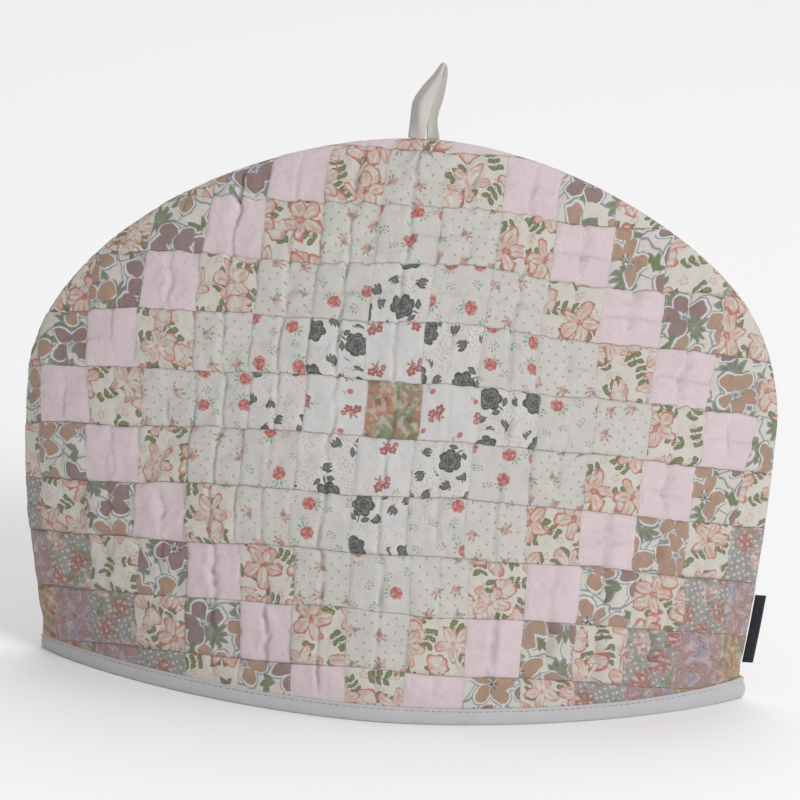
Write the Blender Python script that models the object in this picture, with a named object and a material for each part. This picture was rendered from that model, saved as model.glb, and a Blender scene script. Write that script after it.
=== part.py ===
"""Quilted patchwork tea cosy, standing opened on its bound hem.

Two dome-shaped quilted panels meet edge to edge along a ridge. A folded strip
binds the hem, a tape loop stands on the ridge and a flat tab is caught in the
right side seam. Metres, +Z up, front towards -Y, floor at z = 0.
"""
import math

import bmesh
import bpy
import numpy as np
from mathutils import Matrix

# The dome: its outer face, without the puff of the patches
HEIGHT = 0.244
HALF_WIDTH = 0.1665
WIDEST_AT = 0.125
HEM_HALF_WIDTH = 0.1556
HALF_DEPTH = 0.0775
CROWN_POWER = 1.81
DEPTH_FADE_POWER = 1.2
DEPTH_FADE_ROUNDING = 0.815
PLAN_POWER = 1.8
PLAN_ROUNDING = 0.825
TOP_LEAN = 0.004
BOW = 0.004
OFF_MIDDLE = 0.0003262

# The quilt's thickness, measured through the front at mid-height
WALL = 0.005
SIDE_WALL = 0.009
TOP_WALL = 0.008
BOUND_WALL = 0.003
STRAIGHT_TO = 0.010
BOUND_TO = 0.012
FULL_WALL_AT = 0.025
SEAM_GAP = 0.0003

# The patchwork: finished squares, sewn in straight rows and columns
PATCH = 0.0254
COLUMNS = 15
ROWS = 11
CENTRE_ALONG = -0.0018
CENTRE_CLIMB = 0.1182
GRID_SAG = 0.0188
SHOULDER = 0.0048
PUFF = 0.0022
INNER_PUFF = 0.0006
RIDGE_FADE = 0.014
HEM_FADE = 0.010
SWAY = 0.0011
SWAY_LENGTH = 0.047

# The binding: a U-shaped strip round both panels' lower edges
BINDING_HEIGHT = 0.0075
BINDING_FLOOR = 0.0016
BINDING_CLOTH = 0.0012
BINDING_CLEARANCE = 0.0007
BINDING_INSIDE = 0.0050
BINDING_STEPS = 44
PANEL_FOOT = 0.0020

# The tape loop on the ridge, turned about the vertical
LOOP_RISE = 0.0345
LOOP_SINK = 0.006
LOOP_AT = 0.0027
LOOP_HALF_SPREAD = 0.0044
LOOP_TAPE = 0.0016
LOOP_WIDTH = 0.009
LOOP_LEAN = 0.0085
LOOP_TURN = math.radians(38)
LOOP_STEPS = 12
SADDLE_CLEARANCE = 0.0005
SADDLE_SPREAD = 0.32
SADDLE_DEPTH = 0.016
SADDLE_HALF_LENGTH = 0.02
SADDLE_STEPS = 8

# The flat folded tab in the right side seam
TAB_FROM = 0.0165
TAB_TO = 0.0475
TAB_REACH = 0.0045
TAB_HALF_THICKNESS = 0.0006
TAB_STANDOFF = 0.0008
TAB_STEPS = 3

RIDGE_SAMPLES = 1200
OUTLINE_STEPS = 26
MERGE = 0.0014

heights = HEIGHT * np.sin(np.linspace(0, 1, 400) * math.pi / 2)
stations = np.sin(np.linspace(0, 1, 200) * math.pi / 2)


def half_width(z):
    """Centre to ridge at a height."""
    up = np.clip((z - WIDEST_AT) / (HEIGHT - WIDEST_AT), 0, 1)
    down = np.clip((WIDEST_AT - z) / (WIDEST_AT - STRAIGHT_TO), 0, 1)
    crown = (1 - up ** CROWN_POWER) ** (1 / CROWN_POWER)
    return HALF_WIDTH * crown - (HALF_WIDTH - HEM_HALF_WIDTH) * down ** 2


def half_depth(z):
    """Ridge plane to the front's middle at a height."""
    share = np.clip((z - STRAIGHT_TO) / (HEIGHT - STRAIGHT_TO), 0, 1)
    return HALF_DEPTH * (1 - share ** DEPTH_FADE_POWER) ** DEPTH_FADE_ROUNDING


def plan(station):
    """Share of the half depth at a station from 0, the middle, to 1, the ridge."""
    return (1 - abs(station) ** PLAN_POWER) ** PLAN_ROUNDING


def drift(z):
    """How far the cloth stands off the middle, with hem and crown nearer the tab's side."""
    rise = (z - WIDEST_AT) / HEIGHT
    return TOP_LEAN * rise + 4 * BOW * rise ** 2 - OFF_MIDDLE


def girth(z):
    """Lengths along the cloth from the middle to each of the stations."""
    steps = np.hypot(np.diff(half_width(z) * stations), np.diff(half_depth(z) * plan(stations)))
    return np.concatenate([[0], np.cumsum(steps)])


climbs = np.concatenate([[0], np.cumsum(np.hypot(np.diff(heights), np.diff(half_depth(heights))))])
HEM_GIRTH = girth(0.0)[-1]


def sag(along):
    """How far the patch rows lie below a level line at the middle."""
    return GRID_SAG * (1 - min((along / HEM_GIRTH) ** 2, 1.44))


def on_dome(along, climb):
    """Station and height of a point of the flat cloth."""
    z = float(np.interp(climb + sag(along), climbs, heights))
    lengths = girth(z)
    station = math.copysign(float(np.interp(abs(along), lengths, stations)), along)
    return station, z


def place(station, z, depth, side):
    """A point at a depth in the cloth: 0 is the outer face, side -1 the front."""
    share = depth / WALL
    x = half_width(z) * station * (1 + share * SIDE_WALL / HALF_WIDTH) + drift(z)
    y = half_depth(z) * plan(station) * (1 + share * WALL / HALF_DEPTH)
    lift = max(z - PANEL_FOOT, 0) * share * TOP_WALL / HEIGHT
    return float(x), side * float(y), z + lift


def ridge_in_cloth():
    """Where the ridge runs on the flat cloth: along, climb and height."""
    ridge_heights = HEIGHT * np.sin(np.linspace(0, 1, RIDGE_SAMPLES) * math.pi / 2)
    reaches = [girth(z)[-1] for z in ridge_heights]
    rises = np.interp(ridge_heights, heights, climbs)
    return [(r, c - sag(r), z) for r, c, z in zip(reaches, rises, ridge_heights)]


ridge = ridge_in_cloth()
ridge_line = np.array([(along, climb) for along, climb, z in ridge])


def to_ridge(along, climb):
    """Distance to the nearest point of the ridge, and that point's height."""
    distances = np.hypot(ridge_line[:, 0] - abs(along), ridge_line[:, 1] - climb)
    nearest = int(distances.argmin())
    return float(distances[nearest]), float(ridge[nearest][2])


def convex(points):
    """The points of a convex outline, anticlockwise."""
    hull = []
    for direction in (1, -1):
        chain = []
        for p in sorted(points)[::direction]:
            while len(chain) > 1 and turn(chain[-2], chain[-1], p) <= 0:
                chain.pop()
            chain.append(p)
        hull += chain[:-1]
    return hull


def turn(a, b, c):
    return (b[0] - a[0]) * (c[1] - a[1]) - (b[1] - a[1]) * (c[0] - a[0])


def panel_outline():
    """The panel's flat pattern: a dome over a hem that dips in the middle."""
    foot = float(np.interp(PANEL_FOOT, heights, climbs))
    half = ridge[::RIDGE_SAMPLES // OUTLINE_STEPS] + [ridge[-1]]
    points = [(end * along, max(climb, foot - sag(along))) for along, climb, z in half for end in (-1, 1)]
    reach = ridge[0][0]
    for step in range(-OUTLINE_STEPS, OUTLINE_STEPS + 1):
        along = reach * math.sin(step / OUTLINE_STEPS * math.pi / 2)
        points.append((along, foot - sag(along)))
    return convex(points)


def seam_lines(count, centre):
    """Three lines a patch: its seam, and the shoulders on both sides of its flat top."""
    start = centre - count * PATCH / 2
    lines = [start + k * PATCH + part for k in range(count) for part in (0, SHOULDER, PATCH - SHOULDER)]
    return lines + [start + count * PATCH]


def seam_rise(position, centre, count):
    """0 on a seam and 1 from the shoulder inwards."""
    within = (position - centre + count * PATCH / 2) % PATCH
    return min(min(within, PATCH - within) / SHOULDER, 1)


def flat_sheet(bm):
    """The panel's cloth lying flat, cut to its outline, with lines on every seam."""
    across = seam_lines(COLUMNS, CENTRE_ALONG)
    upward = seam_lines(ROWS, CENTRE_CLIMB)
    wide, tall = len(across) - 1, len(upward) - 1
    bmesh.ops.create_grid(bm, x_segments=wide, y_segments=tall, size=0.5)
    for v in bm.verts:
        column = round((v.co.x + 0.5) * wide)
        row = round((v.co.y + 0.5) * tall)
        v.co = (across[column], upward[row], 0)
    outline = panel_outline()
    for start, end in zip(outline, outline[1:] + outline[:1]):
        outward = (end[1] - start[1], start[0] - end[0], 0)
        geometry = bm.verts[:] + bm.edges[:] + bm.faces[:]
        bmesh.ops.bisect_plane(bm, geom=geometry, dist=1e-6, plane_co=(start[0], start[1], 0),
                               plane_no=outward, clear_outer=True)
    bmesh.ops.remove_doubles(bm, verts=bm.verts[:], dist=MERGE)


def wall_at(z):
    """The wall is pressed thin inside the binding."""
    share = min(max((z - BOUND_TO) / (FULL_WALL_AT - BOUND_TO), 0), 1)
    return BOUND_WALL + (WALL - BOUND_WALL) * share


def sway(along, climb):
    """The slow unevenness of a hand-made quilt."""
    a, c = along / SWAY_LENGTH, climb / SWAY_LENGTH
    return SWAY * (math.sin(a * 2.1 + 0.6) * math.cos(c * 1.7) + 0.6 * math.sin(a * 0.9 - c * 1.3 + 2.0))


def quilted_panel(name, side, material, collection):
    bm = bmesh.new()
    flat_sheet(bm)
    for v in bm.verts:
        v.co.z = 1.0 if v.is_boundary else 0.0
    grown = bmesh.ops.extrude_face_region(bm, geom=bm.faces[:], use_keep_orig=True)
    outer = {g for g in grown["geom"] if isinstance(g, bmesh.types.BMVert)}
    for v in bm.verts:
        along, climb, on_edge = v.co
        station, z = on_dome(along, climb)
        near, ridge_height = to_ridge(along, climb)
        if on_edge > 0.5:
            if z < PANEL_FOOT + MERGE:
                z = PANEL_FOOT
            else:
                z = ridge_height
                station = math.copysign(1, along)
        if near < MERGE and z == PANEL_FOOT:
            station = math.copysign(1, along)
        fade = min(near / RIDGE_FADE, 1) * min(max((z - BOUND_TO) / HEM_FADE, 0), 1)
        rise = seam_rise(along, CENTRE_ALONG, COLUMNS) * seam_rise(climb, CENTRE_CLIMB, ROWS)
        if v in outer:
            depth = rise * fade * PUFF
        else:
            depth = -wall_at(z) - rise * fade * INNER_PUFF
        x, y, z = place(station, z, depth + fade * sway(along, climb), side)
        v.co = (x, y + side * SEAM_GAP / 2, z)
    face_outward(bm)
    bmesh.ops.triangulate(bm, faces=bm.faces[:])
    return finished(name, bm, material, collection)


def face_outward(bm):
    """Turn every face of a closed body out, also where the body is a thin curved one."""
    bmesh.ops.recalc_face_normals(bm, faces=bm.faces[:])
    if bm.calc_volume(signed=True) < 0:
        bmesh.ops.reverse_faces(bm, faces=bm.faces[:])


def finished(name, bm, material, collection):
    """One shaded object from a bmesh."""
    mesh = bpy.data.meshes.new(name)
    bm.to_mesh(mesh)
    bm.free()
    mesh.shade_smooth()
    mesh.set_sharp_from_angle(angle=math.radians(40))
    mesh.materials.append(material)
    made = bpy.data.objects.new(name, mesh)
    collection.objects.link(made)
    return made


def binding_section():
    """The U's outline as depth and height, with its outer corners eased."""
    outer_inside = BINDING_CLEARANCE
    outer_outside = outer_inside + BINDING_CLOTH
    inner_inside = -BINDING_INSIDE
    inner_outside = inner_inside - BINDING_CLOTH
    ease = BINDING_CLOTH / 3
    return [
        (outer_outside - ease, 0),
        (outer_outside, ease),
        (outer_outside, BINDING_HEIGHT - 2 * ease),
        (outer_outside - ease, BINDING_HEIGHT),
        (outer_inside, BINDING_HEIGHT),
        (outer_inside, BINDING_FLOOR),
        (inner_inside, BINDING_FLOOR),
        (inner_inside, BINDING_HEIGHT),
        (inner_outside, BINDING_HEIGHT),
        (inner_outside, 0),
    ]


def hem_binding(material, collection):
    """The U lofted round the hem's lens-shaped plan."""
    section = binding_section()
    half = [math.sin(k / BINDING_STEPS * math.pi) for k in range(-BINDING_STEPS // 2, BINDING_STEPS // 2)]
    around = [(s, -1) for s in half] + [(-s, 1) for s in half]
    bm = bmesh.new()
    rings = []
    for station, side in around:
        rings.append([bm.verts.new(binding_point(station, side, depth, z)) for depth, z in section])
    for ring, following in zip(rings, rings[1:] + rings[:1]):
        for k in range(len(section)):
            after = (k + 1) % len(section)
            bm.faces.new((ring[k], following[k], following[after], ring[after]))
    face_outward(bm)
    return finished("hem_binding", bm, material, collection)


def binding_point(station, side, depth, z):
    x, y, unused_height = place(station, 0.0, depth, side)
    return x, y, z


def flat_curve(name, outline, half_thickness, placing):
    """A filled 2D outline with thickness, put in place."""
    curve = bpy.data.curves.new(name, "CURVE")
    curve.dimensions = "2D"
    curve.fill_mode = "BOTH"
    curve.extrude = half_thickness
    spline = curve.splines.new("POLY")
    spline.points.add(len(outline) - 1)
    for point, (u, v) in zip(spline.points, outline):
        point.co = (u, v, 0, 1)
    spline.use_cyclic_u = True
    made = bpy.data.objects.new(name, curve)
    made.matrix_world = placing
    return made


def as_mesh(curve_object, collection):
    """The curve's own solid as a mesh with welded caps."""
    bpy.context.scene.collection.objects.link(curve_object)
    bpy.context.view_layer.update()
    evaluated = curve_object.evaluated_get(bpy.context.evaluated_depsgraph_get())
    mesh = bpy.data.meshes.new_from_object(evaluated)
    name, placing = curve_object.name, curve_object.matrix_world.copy()
    bpy.data.objects.remove(curve_object)
    bm = bmesh.new()
    bm.from_mesh(mesh)
    bmesh.ops.remove_doubles(bm, verts=bm.verts[:], dist=1e-6)
    face_outward(bm)
    bm.to_mesh(mesh)
    bm.free()
    mesh.name = name
    made = bpy.data.objects.new(name, mesh)
    made.matrix_world = placing
    collection.objects.link(made)
    return made


UPRIGHT = Matrix.Rotation(math.pi / 2, 4, "X")


def loop_outline():
    """The folded tape seen edge-on: two legs that close in a pointed fold."""
    outer, inner = [], []
    top = LOOP_RISE + LOOP_SINK
    for k in range(LOOP_STEPS + 1):
        share = math.sin(k / LOOP_STEPS * math.pi / 2)
        outer.append((share * top, (LOOP_HALF_SPREAD + LOOP_TAPE / 2) * (1 - share ** 3) ** 0.8))
        inner.append((share * (top - 2 * LOOP_TAPE), (LOOP_HALF_SPREAD - LOOP_TAPE / 2) * (1 - share ** 3) ** 0.8))
    points = [(-half, rise) for rise, half in outer] + [(half, rise) for rise, half in outer[-2::-1]]
    points += [(half, rise) for rise, half in inner] + [(-half, rise) for rise, half in inner[-2::-1]]
    return [(u + LOOP_LEAN * (max(v, 0) / top) ** 1.4, v) for u, v in points]


def ridge_prism():
    """A bar with the ridge's own section, a little larger, along the ridge."""
    drops = [SADDLE_DEPTH * (k / SADDLE_STEPS) ** 2 for k in range(SADDLE_STEPS + 1)]
    front = [place(0.0, HEIGHT - drop, SADDLE_CLEARANCE + SADDLE_SPREAD * drop, 1) for drop in drops]
    crest = front[0][2] + SADDLE_CLEARANCE
    half = [(y + SADDLE_CLEARANCE / 2, z) for x, y, z in front[1:]]
    outline = [(0, crest)] + half + [(-y, z) for y, z in reversed(half)]
    return outline


def top_loop(material, collection, cutters):
    across = Matrix.Rotation(math.pi / 2, 4, "Z") @ UPRIGHT
    saddle = as_mesh(flat_curve("ridge_saddle", ridge_prism(), SADDLE_HALF_LENGTH, across), cutters)
    saddle.hide_render = True
    saddle.display_type = "WIRE"
    foot = Matrix.Translation((LOOP_AT, 0, HEIGHT - LOOP_SINK))
    placing = foot @ Matrix.Rotation(LOOP_TURN, 4, "Z") @ UPRIGHT
    loop = as_mesh(flat_curve("top_loop", loop_outline(), LOOP_WIDTH / 2, placing), collection)
    loop.data.materials.append(material)
    cut = loop.modifiers.new("seat on the ridge", "BOOLEAN")
    cut.operation = "DIFFERENCE"
    cut.solver = "EXACT"
    cut.object = saddle
    return loop


def side_tab(material, collection):
    """A flat tab that follows the side seam's slope."""
    rises = [TAB_FROM + (TAB_TO - TAB_FROM) * k / TAB_STEPS for k in range(TAB_STEPS + 1)]
    seam = [(place(1.0, z, 0.0, 1)[0] + TAB_STANDOFF, z) for z in rises]
    outline = seam + [(x + TAB_REACH, z) for x, z in (seam[-1], seam[0])]
    tab = flat_curve("side_tab", outline, TAB_HALF_THICKNESS, UPRIGHT)
    tab.data.materials.append(material)
    collection.objects.link(tab)
    return tab


def cloth_material(name, colour, roughness):
    material = bpy.data.materials.new(name)
    material.use_nodes = True
    shader = material.node_tree.nodes["Principled BSDF"]
    shader.inputs["Base Color"].default_value = (*colour, 1)
    shader.inputs["Roughness"].default_value = roughness
    shader.inputs["Metallic"].default_value = 0
    return material


def clear_scene():
    for existing in list(bpy.data.objects):
        bpy.data.objects.remove(existing)


def new_collection(name):
    collection = bpy.data.collections.new(name)
    bpy.context.scene.collection.children.link(collection)
    return collection


def main():
    clear_scene()
    cosy = new_collection("tea_cosy")
    cutters = new_collection("cutters")
    patchwork = cloth_material("patchwork cotton", (0.58, 0.47, 0.42), 0.85)
    binding = cloth_material("binding cotton", (0.62, 0.59, 0.56), 0.8)
    tape = cloth_material("cotton tape", (0.58, 0.54, 0.48), 0.8)
    tab = cloth_material("navy woven tab", (0.011, 0.014, 0.028), 0.7)
    quilted_panel("front_panel", -1, patchwork, cosy)
    quilted_panel("back_panel", 1, patchwork, cosy)
    hem_binding(binding, cosy)
    top_loop(tape, cosy, cutters)
    side_tab(tab, cosy)


main()
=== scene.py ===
"""Looks of a quilted patchwork tea cosy that stands on its bound hem.

Two dome-shaped panels of one inch cotton squares, a folded binding round the hem,
a tape loop on the ridge and a small tab in the side seam. Metres, +Z up.
"""
import math

import bmesh
import bpy
import numpy as np
from mathutils import Euler, Matrix, Vector, kdtree, noise


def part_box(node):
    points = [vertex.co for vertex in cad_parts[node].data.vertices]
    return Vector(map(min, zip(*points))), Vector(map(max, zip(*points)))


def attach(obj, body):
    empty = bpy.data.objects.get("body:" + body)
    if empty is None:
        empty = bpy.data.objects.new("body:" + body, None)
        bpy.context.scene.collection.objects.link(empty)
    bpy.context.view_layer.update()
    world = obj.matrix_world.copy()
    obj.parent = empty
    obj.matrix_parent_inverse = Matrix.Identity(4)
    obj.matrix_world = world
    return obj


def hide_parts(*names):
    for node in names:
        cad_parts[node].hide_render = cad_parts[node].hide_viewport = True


bl_info = {
    "name": "Patchwork Tea Cosy",
    "version": (1, 0, 0),
    "blender": (4, 5, 0),
    "location": "View3D > Sidebar > Tea Cosy",
    "description": "Sews a quilted patchwork tea cosy from printed cotton squares",
    "category": "Add Mesh",
}

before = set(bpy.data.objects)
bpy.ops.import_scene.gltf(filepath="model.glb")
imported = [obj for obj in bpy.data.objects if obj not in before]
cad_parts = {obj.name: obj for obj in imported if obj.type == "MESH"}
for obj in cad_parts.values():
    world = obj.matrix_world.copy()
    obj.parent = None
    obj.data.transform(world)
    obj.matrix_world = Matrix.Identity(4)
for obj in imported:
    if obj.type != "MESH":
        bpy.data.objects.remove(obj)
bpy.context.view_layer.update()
PANEL_LOW, PANEL_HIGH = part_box("front_panel")
BINDING_LOW, BINDING_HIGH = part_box("hem_binding")
LOOP_LOW, LOOP_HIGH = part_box("top_loop")
TAB_LOW, TAB_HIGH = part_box("side_tab")
MM = 0.001
TAU = 2 * math.pi


def linear(red, green, blue):
    """A screen colour, 0 to 255, as linear light."""
    parts = [c / 255 for c in (red, green, blue)]
    return tuple(c / 12.92 if c <= 0.04045 else ((c + 0.055) / 1.055) ** 2.4 for c in parts)


def size(name, description, default, **kind):
    return bpy.props.FloatProperty(
        name=name, description=description, default=default, unit="LENGTH", precision=4, **kind
    )


def share(name, description, default):
    return bpy.props.FloatProperty(name=name, description=description, default=default, precision=3)


def angle(name, description, degrees):
    return bpy.props.FloatProperty(
        name=name, description=description, default=math.radians(degrees), subtype="ANGLE"
    )


def tint(name, description, *screen):
    return bpy.props.FloatVectorProperty(
        name=name, description=description, default=linear(*screen), subtype="COLOR", min=0, max=1
    )


class CosyDome(bpy.types.PropertyGroup):
    """Sizes of the dome and of its patchwork"""

    height: size("Height", "Floor to the top of the ridge", 0.244)
    half_width: size("Half width", "Middle to the ridge at its widest", 0.1665)
    widest_at: size("Widest at", "Height at which the dome is widest", 0.125)
    hem_half_width: size("Hem half width", "Middle to the side seam at the hem", 0.1556)
    half_depth: size("Half depth", "Ridge plane to the front at the hem", 0.0775)
    straight_to: size("Straight to", "Height up to which the wall is upright", 0.010)
    top_lean: size("Lean", "How far the top leans towards the tab", 0.004)
    bow: size("Bow", "How far hem and crown stand off the middle towards the tab", 0.004)
    off_middle: size("Off middle", "Shift that centres the whole cosy", 0.0003262)
    shoulder: size("Shoulder", "How far the shoulder by the tab stands out", 0.0045)
    crown_power: share("Crown", "Roundness of the dome's outline", 1.81)
    fade_power: share("Depth fade", "How the depth shrinks with height", 1.2)
    fade_rounding: share("Depth rounding", "How blunt the ridge is", 0.815)
    plan_power: share("Plan", "Fullness of the lens that the plan makes", 1.8)
    plan_rounding: share("Plan rounding", "How blunt the side seams are", 0.825)
    wall: size("Wall", "Thickness of the quilt at mid-height", 0.005)
    side_wall: size("Side wall", "Width of the joint face at the sides", 0.009)
    top_wall: size("Top wall", "Height of the joint face at the top", 0.008)
    patch: size("Square", "Side of a finished square", 0.0254)
    centre_along: size("Grid across", "Middle square's offset from the middle", -0.0018)
    centre_climb: size("Grid up", "Middle square's height up the cloth", 0.1182)
    grid_sag: size("Grid sag", "How far the rows dip in the middle", 0.0188)


class CosyQuilting(bpy.types.PropertyGroup):
    """Depths of the seams, quilting lines and puckers"""

    seam_depth: size("Seam depth", "Depth of the seams between squares", 0.0008)
    seam_reach: size("Seam reach", "Half width of a seam's ditch", 0.0009)
    allowance: size("Seam allowance", "Step up where the seam allowance lies", 0.0003)
    line_depth: size("Line depth", "Depth of the quilting lines through the squares", 0.0015)
    line_reach: size("Line reach", "Half width of a quilting line", 0.0009)
    puff: size("Puff", "Rise of each quarter of a square", 0.0008)
    crumple: size("Crumple", "Height of the crumpling from washing", 0.0014)
    pucker: size("Pucker", "Height of the fine puckers along the stitching", 0.0007)
    wander: size("Wander", "How far the seams stray from straight lines", 0.0008)
    row_slip: size("Row slip", "How far a row's seams miss the next row's", 0.0011)
    sway: size("Sway", "Slow unevenness of the whole panel", 0.0011)


class CosyCloths(bpy.types.PropertyGroup):
    """Colours of the printed cottons"""

    pink: tint("Pink", "Plain pink cotton", 216, 196, 201)
    cream: tint("Cream", "Ground of the rose and sprig prints", 202, 199, 194)
    white: tint("White", "Ground of the white prints", 207, 205, 203)
    ivory: tint("Ivory", "Ground of the large flower prints", 206, 201, 193)
    tan: tint("Tan", "Large round petals", 170, 142, 123)
    mauve: tint("Mauve", "Large dark petals", 145, 123, 119)
    coral: tint("Coral", "Drawn lines of the coral flowers", 182, 118, 102)
    peach: tint("Peach", "Petals of the coral flowers", 202, 178, 166)
    leaf: tint("Leaf", "Leaves of the coral flowers", 126, 132, 98)
    dark_leaf: tint("Dark leaf", "Edges and veins of the leaves", 84, 94, 66)
    slate: tint("Slate", "Blue-grey stems and outlines", 126, 136, 144)
    charcoal: tint("Charcoal", "Grey roses", 116, 118, 114)
    ink: tint("Ink", "Lines of the grey roses", 74, 78, 75)
    red: tint("Red", "Small roses", 182, 92, 88)
    deep_red: tint("Deep red", "Small clustered flowers", 150, 70, 76)
    speckle: tint("Speckle", "Pinkish dots of the grey rose print", 190, 130, 134)
    emerald: tint("Emerald", "Sprigs by the small roses", 106, 164, 128)
    olive: tint("Olive", "Dots and small leaves", 142, 137, 106)
    brown: tint("Brown", "Small rings and shadows of the meadow", 122, 98, 80)
    garden: tint("Garden grey", "Ground of the dotted grey print", 152, 150, 146)
    rosewood: tint("Rosewood", "Ground of the line print", 160, 135, 132)
    crimson: tint("Crimson", "Lines of the line print", 150, 86, 98)
    lilac: tint("Lilac", "Soft patches of the line print", 150, 150, 172)
    sage: tint("Sage", "Meadow's green", 134, 138, 114)
    apricot: tint("Apricot", "Meadow's yellow", 178, 158, 128)
    thrift: tint("Thrift", "Meadow's pink", 172, 118, 106)
    backing: tint("Backing", "Cloth inside the cosy", 190, 184, 172)
    seam: tint("Seam", "Shadow line of the seams", 100, 80, 70)
    binding: tint("Binding", "Folded strip round the hem", 201, 200, 201)
    stitch: tint("Stitch", "Thread of the topstitching", 118, 128, 148)
    tape: tint("Tape", "Loop on the ridge", 211, 206, 200)
    navy: tint("Navy", "Tab in the side seam", 34, 37, 47)


class CosyStage(bpy.types.PropertyGroup):
    """Camera, lights and floor"""

    distance: size("Camera distance", "Camera to the cosy", 3.0)
    field: share("Lens", "Focal length over the sensor's width", 8.5019)
    climb: angle("Camera climb", "Camera's angle above the floor", 14.261)
    swing: angle("Camera swing", "Camera's angle towards the tab", 2.749)
    roll: angle("Camera roll", "Tilt of the picture", 3.395)
    aim_height: size("Aim height", "Height of the point that the camera looks at", 0.120)
    aim_right: size("Aim right", "Shift of the aim across the picture", -0.0007)
    aim_up: size("Aim up", "Shift of the aim up the picture", 0.0048)
    floor: tint("Floor", "Plain pale floor", 250, 250, 250)


class Dome:
    """The outer face of the cosy as a formula, on numpy arrays in metres."""

    STATIONS = np.sin(np.linspace(0, 1, 200) * math.pi / 2)
    FOOT = 0.002
    BOUND_TO = 0.012
    FULL_WALL_AT = 0.025
    BOUND_WALL = 0.003
    SWAY_LENGTH = 0.047
    SHOULDER_AT = 0.185
    SHOULDER_REACH = 0.035

    def __init__(self, sizes):
        self.s = sizes
        self.heights = sizes.height * np.sin(np.linspace(0, 1, 500) * math.pi / 2)
        rises = np.hypot(np.diff(self.heights), np.diff(self.half_depth(self.heights)))
        self.climbs = np.concatenate([[0], np.cumsum(rises)])
        self.hem_girth = self.girths(np.array([0.0]))[0, -1]
        self.ridge = self.ridge_in_cloth()

    def half_width(self, z):
        s = self.s
        up = np.clip((z - s.widest_at) / (s.height - s.widest_at), 0, 1)
        down = np.clip((s.widest_at - z) / (s.widest_at - s.straight_to), 0, 1)
        crown = (1 - up ** s.crown_power) ** (1 / s.crown_power)
        return s.half_width * crown - (s.half_width - s.hem_half_width) * down ** 2

    def half_depth(self, z):
        s = self.s
        up = np.clip((z - s.straight_to) / (s.height - s.straight_to), 0, 1)
        return s.half_depth * (1 - up ** s.fade_power) ** s.fade_rounding

    def plan(self, station):
        return (1 - np.abs(station) ** self.s.plan_power) ** self.s.plan_rounding

    def girths(self, z):
        """Lengths along the cloth from the middle to each station, a row for each height."""
        across = np.diff(self.half_width(z)[:, None] * self.STATIONS, axis=1)
        deep = np.diff(self.half_depth(z)[:, None] * self.plan(self.STATIONS), axis=1)
        lengths = np.cumsum(np.hypot(across, deep), axis=1)
        return np.concatenate([np.zeros((len(z), 1)), lengths], axis=1)

    def sag(self, along):
        return self.s.grid_sag * (1 - np.minimum((along / self.hem_girth) ** 2, 1.44))

    def on_dome(self, along, climb):
        """Stations and heights of points of the flat cloth."""
        z = np.interp(climb + self.sag(along), self.climbs, self.heights)
        lengths = self.girths(z)
        reach = np.minimum(np.abs(along), lengths[:, -1] - 1e-9)
        after = np.clip((lengths <= reach[:, None]).sum(axis=1), 1, len(self.STATIONS) - 1)
        rows = np.arange(len(z))
        low, high = lengths[rows, after - 1], lengths[rows, after]
        part = (reach - low) / np.maximum(high - low, 1e-12)
        station = self.STATIONS[after - 1] * (1 - part) + self.STATIONS[after] * part
        return np.copysign(station, along), z

    def drift(self, z):
        """How far the cloth stands off the middle, with hem and crown nearer the tab's side."""
        rise = (z - self.s.widest_at) / self.s.height
        return self.s.top_lean * rise + 4 * self.s.bow * rise ** 2 - self.s.off_middle

    def place(self, station, z, depth, side):
        """Points at a depth in the cloth: 0 is the outer face, side -1 the front."""
        s = self.s
        part = depth / s.wall
        sideways = np.where(depth > 0, s.wall, s.side_wall)
        x = self.half_width(z) * station * (1 + part * sideways / s.half_width) + self.drift(z)
        near_shoulder = np.exp(-(((z - self.SHOULDER_AT) / self.SHOULDER_REACH) ** 2))
        x = x + s.shoulder * near_shoulder * np.clip(station, 0, 1) ** 2
        y = side * self.half_depth(z) * self.plan(station) * (1 + part * s.wall / s.half_depth)
        lift = np.maximum(z - self.FOOT, 0) * part * s.top_wall / s.height
        return np.stack([x, y + 0 * x, z + lift + 0 * x], axis=-1)

    def ridge_in_cloth(self):
        """Where the ridge runs on the flat cloth: along, climb and height."""
        z = self.s.height * np.sin(np.linspace(0, 1, 1500) * math.pi / 2)
        reach = self.girths(z)[:, -1]
        return np.stack([reach, np.interp(z, self.heights, self.climbs) - self.sag(reach), z], axis=1)

    def wall_at(self, z):
        """The wall is pressed thin inside the binding."""
        part = np.clip((z - self.BOUND_TO) / (self.FULL_WALL_AT - self.BOUND_TO), 0, 1)
        return self.BOUND_WALL + (self.s.wall - self.BOUND_WALL) * part

    def sway(self, along, climb):
        a, c = along / self.SWAY_LENGTH, climb / self.SWAY_LENGTH
        slow = np.sin(a * 2.1 + 0.6) * np.cos(c * 1.7) + 0.6 * np.sin(a * 0.9 - c * 1.3 + 2.0)
        return slow

    def outline(self, steps):
        """The panel's flat pattern: a dome over a hem that dips in the middle."""
        foot = np.interp(self.FOOT, self.heights, self.climbs)
        half = np.vstack([self.ridge[:: len(self.ridge) // steps], self.ridge[-1]])
        points = [
            (end * along, max(climb, foot - self.sag(along))) for along, climb, z in half for end in (-1, 1)
        ]
        reach = self.ridge[0][0]
        for step in range(-steps, steps + 1):
            along = reach * math.sin(step / steps * math.pi / 2)
            points.append((along, foot - self.sag(along)))
        return convex([(float(a), float(c)) for a, c in points])


def convex(points):
    """The points of a convex outline, anticlockwise."""
    hull = []
    for direction in (1, -1):
        chain = []
        for p in sorted(points)[::direction]:
            while len(chain) > 1 and turn(chain[-2], chain[-1], p) <= 0:
                chain.pop()
            chain.append(p)
        hull += chain[:-1]
    return hull


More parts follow.
